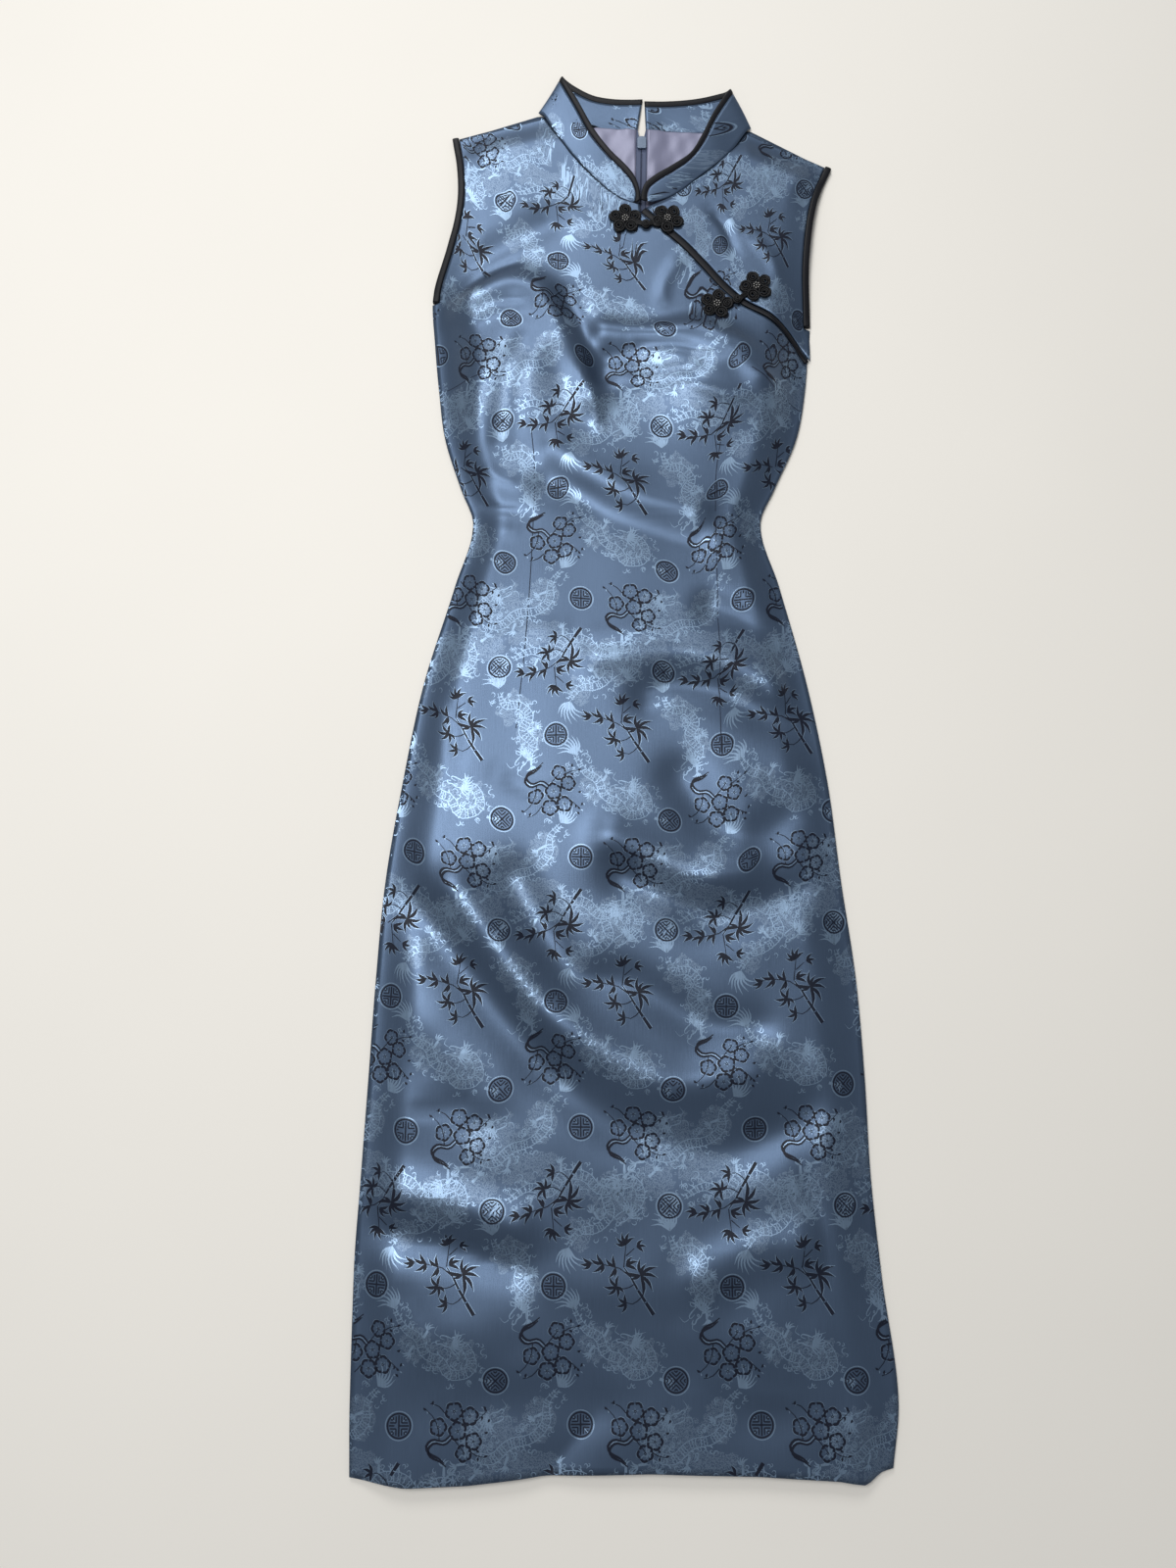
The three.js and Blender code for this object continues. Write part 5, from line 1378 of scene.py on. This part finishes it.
def makeWeaveTree():
    # Lays the drawn repeat over a panel by the panel's own cloth coordinates
    tree, start, end = treeWith("layBrocade", [
        ("Cloth", "NodeSocketObject", None), ("Columns", "NodeSocketInt", 3), ("Rows", "NodeSocketInt", 6),
        ("Repeat Width", "NodeSocketFloat", 0.15), ("Repeat Height", "NodeSocketFloat", 0.239),
        ("First", "NodeSocketVector", (0, 0, 0)), ("Lift", "NodeSocketFloat", 0.0002),
                                               ("Material", "NodeSocketMaterial", None)])
    nodes, links = tree.nodes, tree.links

    def number(kind, a, b):
        node = nodes.new("ShaderNodeMath")
        node.operation = kind
        for socket, value in zip(node.inputs, (a, b)):
            if isinstance(value, (int, float)):
                socket.default_value = value
            else:
                links.new(value, socket)
        return node.outputs[0]
    grid = nodes.new("GeometryNodeMeshGrid")
    links.new(number("MULTIPLY", number("SUBTRACT", start.outputs["Columns"], 1),
                    start.outputs["Repeat Width"]), grid.inputs["Size X"])
    links.new(number("MULTIPLY", number("SUBTRACT", start.outputs["Rows"], 1),
                    start.outputs["Repeat Height"]), grid.inputs["Size Y"])
    links.new(start.outputs["Columns"], grid.inputs["Vertices X"])
    links.new(start.outputs["Rows"], grid.inputs["Vertices Y"])
    shift = nodes.new("GeometryNodeSetPosition")
    links.new(grid.outputs["Mesh"], shift.inputs["Geometry"])
    links.new(start.outputs["First"], shift.inputs["Offset"])
    place = nodes.new("GeometryNodeInstanceOnPoints")
    links.new(shift.outputs["Geometry"], place.inputs["Points"])
    links.new(start.outputs["Geometry"], place.inputs["Instance"])
    flat = nodes.new("GeometryNodeRealizeInstances")
    links.new(place.outputs["Instances"], flat.inputs["Geometry"])
    cloth = nodes.new("GeometryNodeObjectInfo")
    links.new(start.outputs["Cloth"], cloth.inputs["Object"])
    own = nodes.new("GeometryNodeInputNamedAttribute")
    own.data_type = "FLOAT_VECTOR"
    own.inputs["Name"].default_value = "cloth"
    here = nodes.new("GeometryNodeInputPosition")
    picks = []
    for source in ("GeometryNodeInputPosition", "GeometryNodeInputNormal"):
        value = nodes.new(source)
        sample = nodes.new("GeometryNodeSampleUVSurface")
        sample.data_type = "FLOAT_VECTOR"
        mapSocket = next(name for name in ("Source UV Map", "UV Map") if name in sample.inputs)
        links.new(cloth.outputs["Geometry"], sample.inputs["Mesh"])
        links.new(value.outputs[0], sample.inputs["Value"])
        links.new(own.outputs["Attribute"], sample.inputs[mapSocket])
        links.new(here.outputs[0], sample.inputs["Sample UV"])
        picks.append(sample)
    lifted = nodes.new("ShaderNodeVectorMath")
    lifted.operation = "SCALE"
    links.new(picks[1].outputs["Value"], lifted.inputs[0])
    links.new(start.outputs["Lift"], lifted.inputs["Scale"])
    total = nodes.new("ShaderNodeVectorMath")
    links.new(picks[0].outputs["Value"], total.inputs[0])
    links.new(lifted.outputs[0], total.inputs[1])
    outside = nodes.new("FunctionNodeBooleanMath")
    outside.operation = "NOT"
    links.new(picks[0].outputs["Is Valid"], outside.inputs[0])
    keep = nodes.new("GeometryNodeStoreNamedAttribute")
    keep.data_type = "BOOLEAN"
    keep.inputs["Name"].default_value = "outside"
    links.new(flat.outputs["Geometry"], keep.inputs["Geometry"])
    links.new(outside.outputs[0], keep.inputs["Value"])
    move = nodes.new("GeometryNodeSetPosition")
    links.new(keep.outputs["Geometry"], move.inputs["Geometry"])
    links.new(total.outputs[0], move.inputs["Position"])
    drop = nodes.new("GeometryNodeDeleteGeometry")
    marked = nodes.new("GeometryNodeInputNamedAttribute")
    marked.data_type = "BOOLEAN"
    marked.inputs["Name"].default_value = "outside"
    links.new(move.outputs["Geometry"], drop.inputs["Geometry"])
    links.new(marked.outputs["Attribute"], drop.inputs["Selection"])
    soft = nodes.new("GeometryNodeSetShadeSmooth")
    links.new(drop.outputs["Geometry"], soft.inputs["Geometry"])
    again = nodes.new("GeometryNodeRealizeInstances")
    links.new(soft.outputs["Geometry"], again.inputs["Geometry"])
    finish = nodes.new("GeometryNodeSetMaterial")
    links.new(again.outputs["Geometry"], finish.inputs["Geometry"])
    links.new(start.outputs["Material"], finish.inputs["Material"])
    links.new(finish.outputs["Geometry"], end.inputs["Geometry"])
    return tree


weaveTree = makeWeaveTree()


def layBrocade(name, facts, turn=1):
    # turn is -1 where the cloth's outer side looks down
    grid, uv = facts["grid"], facts["uv"]
    rows, cols = grid.shape[:2]
    faces = gridQuads(rows, cols)
    if turn < 0:
        faces = [face[::-1] for face in faces]
    base = addMesh(name + "_base", grid.reshape(-1, 3), faces, finishes["ground"], uv.reshape(-1, 2))
    low, high = uv.reshape(-1, 2).min(axis=0), uv.reshape(-1, 2).max(axis=0)
    firstColumn = math.floor((low[0] - repeat["originX"]) / repeat["width"] - 0.75)
    firstRow = math.floor((low[1] - repeat["originY"]) / repeat["height"] - 0.6)
    columns = math.ceil((high[0] - repeat["originX"]) / repeat["width"] + 0.75) - firstColumn
    rowCount = math.ceil((high[1] - repeat["originY"]) / repeat["height"] + 0.8) - firstRow
    # the grid of repeats is centred on its own middle
    first = ((repeat["originX"] + (firstColumn + (columns - 1) / 2) * repeat["width"]) * mm,
             (repeat["originY"] + (firstRow + (rowCount - 1) / 2) * repeat["height"]) * mm, 0)
    pieces = []
    for kind, strokes, lift in (("pale", pale, repeat["paleLift"]), ("dark", dark, repeat["darkLift"])):
        flat = np.column_stack([np.array(strokes.points), np.zeros(len(strokes.points))])
        source = addMesh("%s_%s_drawn" % (name, kind), flat, strokes.faces, finishes[kind])
        pieceName = "%s_%s_thread" % (name, kind)
        values = {"Cloth": base, "Columns": columns, "Rows": rowCount, "Repeat Width": repeat["width"] * mm,
                  "Repeat Height": repeat["height"] * mm, "First": first, "Lift": lift * mm,
                  "Material": finishes[kind]}
        made = runTree(source, weaveTree, values, pieceName, finishes[kind])
        if len(made.data.polygons):
            pieces.append(made)
        else:
            bpy.data.objects.remove(made)
    bpy.data.objects.remove(base)
    return pieces


threads = {}
for name in ("front_main", "front_shoulder", "back_left", "back_right"):
    threads[name] = layBrocade(name, pieceFacts[name + "_cloth"], -1 if name.startswith("back") else 1)
for side in ("left", "right"):
    name = "collar_" + side
    facts = pieceFacts[name + "_cloth"]
    under = {"grid": facts["grid"] - gridNormals(facts["grid"]) * cloth["wall"], "uv": facts["uv"]}
    threads[name] = layBrocade(name, facts) + layBrocade(name + "_under", under, -1)
for pieces in threads.values():
    for piece in pieces:
        print(piece.name, len(piece.data.polygons) * 2, "triangles")
print("brocade woven:", sum(len(piece.data.polygons) for pieces in threads.values() for piece in pieces),
      "faces")

# Painted shade along the seams and darts: dark strips where the sewn lines crease
# Width, lift and spacing of the dark strips of painted seam shade
seamShadeSizes = {"line": 0.9, "lift": 0.14, "underLift": -0.12, "step": 3}
frontDarts = [
    [(-169, 313), (-140, 318), (-106, 321)], [(172, 294), (146, 308), (123, 322)],
    [(-84, 275), (-80, 230), (-81, 181), (-86, 80), (-95, -18)],
              [(95, 260), (90, 225), (89, 184.5), (90, 70), (90, -40)],
]
backDarts = [[(-78, 262), (-82, 180), (-88, 20)], [(86, 262), (84, 180), (88, 20)]]


def seamShadeStrip(points, faces, path, width, level):
    # A narrow dark strip of painted seam shade along a path, level(x, y) above the floor
    length = sum(math.dist(a, b) for a, b in zip(path[:-1], path[1:]))
    run = spaced(path, max(4, int(length / seamShadeSizes["step"])))
    way = np.gradient(run, axis=0)
    way /= np.linalg.norm(way, axis=1)[:, None]
    side = np.stack([-way[:, 1], way[:, 0]], axis=1)
    first = len(points)
    for k, (p, s) in enumerate(zip(run, side)):
        for sign in (-1, 1):
            x, y = p + s * sign * width / 2
            points.append((x, y, float(level(x, y))))
        if k:
            a = first + 2 * k
            faces.append((a - 2, a - 1, a + 1, a))


def makeSeamShade(name, paths, width, level, down=False):
    points, faces = [], []
    for path in paths:
        seamShadeStrip(points, faces, path, width, level)
    if down:
        faces = [face[::-1] for face in faces]
    return addMesh(name, points, faces, finishes["seamShade"])


def seamLevel(x, y):
    return frontHeight(x, y) + seamShadeSizes["lift"]


def underBack(x, y):
    return seamShadeSizes["underLift"]


details = {"front_main": [], "back_left": [], "back_right": []}
details["front_main"].append(makeSeamShade("front_darts", frontDarts, seamShadeSizes["line"], seamLevel))
for side, dart in zip(("left", "right"), backDarts):
    details["back_" + side].append(makeSeamShade("back_dart_" + side, [dart], seamShadeSizes["line"], underBack, True))
seamLine = [(centreX(y), y) for y in (-560, -200, 100, 400, 500)]
details["back_left"].append(makeSeamShade("back_seam", [seamLine], seamShadeSizes["line"], underBack, True))
print("darts and seams sewn")

# Each piece joins the dress body, and the solid it replaces is hidden
def sayPiece(piece, slot, *nodes):
    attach(piece, dressBody)
    if nodes:
        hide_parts(*nodes)


lying = {
    "front_main": ("brocade", ["back_left_cloth", "back_right_cloth"]),
         "front_shoulder": ("brocade", ["back_right_cloth"]),
    "back_left": ("brocade", []), "back_right": ("brocade", []),
    "collar_left": ("brocade", ["back_left_cloth"]), "collar_right": ("brocade", ["back_right_cloth"]),
    "collar_binding_left": ("binding", ["collar_left_cloth"]),
         "collar_binding_right": ("binding", ["collar_right_cloth"]),
    "armhole_binding_left": ("binding", ["back_left_cloth"]),
         "armhole_binding_right": ("binding", ["back_right_cloth"]),
    "placket_binding": ("binding", ["front_main_cloth"]),
    "neck_lining_left": ("lining", ["back_left_cloth"]),
         "neck_lining_right": ("lining", ["back_right_cloth"]),
    "zip_tape_left": ("tape", ["back_left_cloth"]), "zip_tape_right": ("tape", ["back_right_cloth"]),
}
madeSheets = {**panels, **trims}
for node, (slot, rests) in lying.items():
    piece = madeSheets[node]
    sayPiece(piece, slot, node)
    for thread in threads.get(node, []) + details.get(node, []):
        sayPiece(thread, slot)
for name, piece in frogPieces.items():
    if name.endswith("beads"):
        sayPiece(piece, "cord")
    else:
        sayPiece(piece, "cord", name)
sayPiece(zipCoilPiece, "tape")

# Floor and light
studio = {
    "floor": (0.85, 0.815, 0.75), "floorSize": 6.0, "floorDrop": 0.0006,
    "window": {"power": 27, "size": 1.0, "at": (-0.5, 2.2, 1.8), "aim": (0, 0.2, 0)},
    "over": {"power": 27, "size": 0.8, "at": (-0.6, 0.3, 2.1), "aim": (0, -0.45, 0)},
    "world": 0.31,
}


def makeFloor():
    size = studio["floorSize"] / 2
    mesh = bpy.data.meshes.new("floor")
    z = -studio["floorDrop"]
    mesh.from_pydata([(-size, -size, z), (size, -size, z), (size, size, z), (-size, size, z)], [],
                     [(0, 1, 2, 3)])
    material = bpy.data.materials.new("paperFloor")
    material.use_nodes = True
    nodes, links = material.node_tree.nodes, material.node_tree.links
    shader = nodes["Principled BSDF"]
    shader.inputs["Roughness"].default_value = 0.9
    noise = nodes.new("ShaderNodeTexNoise")
    noise.inputs["Scale"].default_value = 3
    place = nodes.new("ShaderNodeTexCoord")
    links.new(place.outputs["Object"], noise.inputs["Vector"])
    ramp = nodes.new("ShaderNodeValToRGB")
    ramp.color_ramp.elements[0].color = (*(0.97 * c for c in studio["floor"]), 1)
    ramp.color_ramp.elements[1].color = (*(1.02 * c for c in studio["floor"]), 1)
    links.new(noise.outputs["Fac"], ramp.inputs["Fac"])
    links.new(ramp.outputs["Color"], shader.inputs["Base Color"])
    mesh.materials.append(material)
    floor = bpy.data.objects.new("floor", mesh)
    bpy.context.collection.objects.link(floor)


def aimed(place, target):
    return (Vector(target) - Vector(place)).to_track_quat("-Z", "Y").to_euler()


def makeLights():
    for name in ("window", "over"):
        facts = studio[name]
        data = bpy.data.lights.new(name, "AREA")
        data.energy = facts["power"]
        data.size = facts["size"]
        light = bpy.data.objects.new(name, data)
        light.location = facts["at"]
        light.rotation_euler = aimed(facts["at"], facts["aim"])
        bpy.context.collection.objects.link(light)
    world = bpy.data.worlds.new("room")
    world.use_nodes = True
    background = world.node_tree.nodes["Background"]
    background.inputs["Color"].default_value = (0.93, 0.96, 1.0, 1)
    background.inputs["Strength"].default_value = studio["world"]
    bpy.context.scene.world = world


makeFloor()
makeLights()
scene = bpy.context.scene
scene.view_settings.view_transform = "Standard"
print("studio lit")
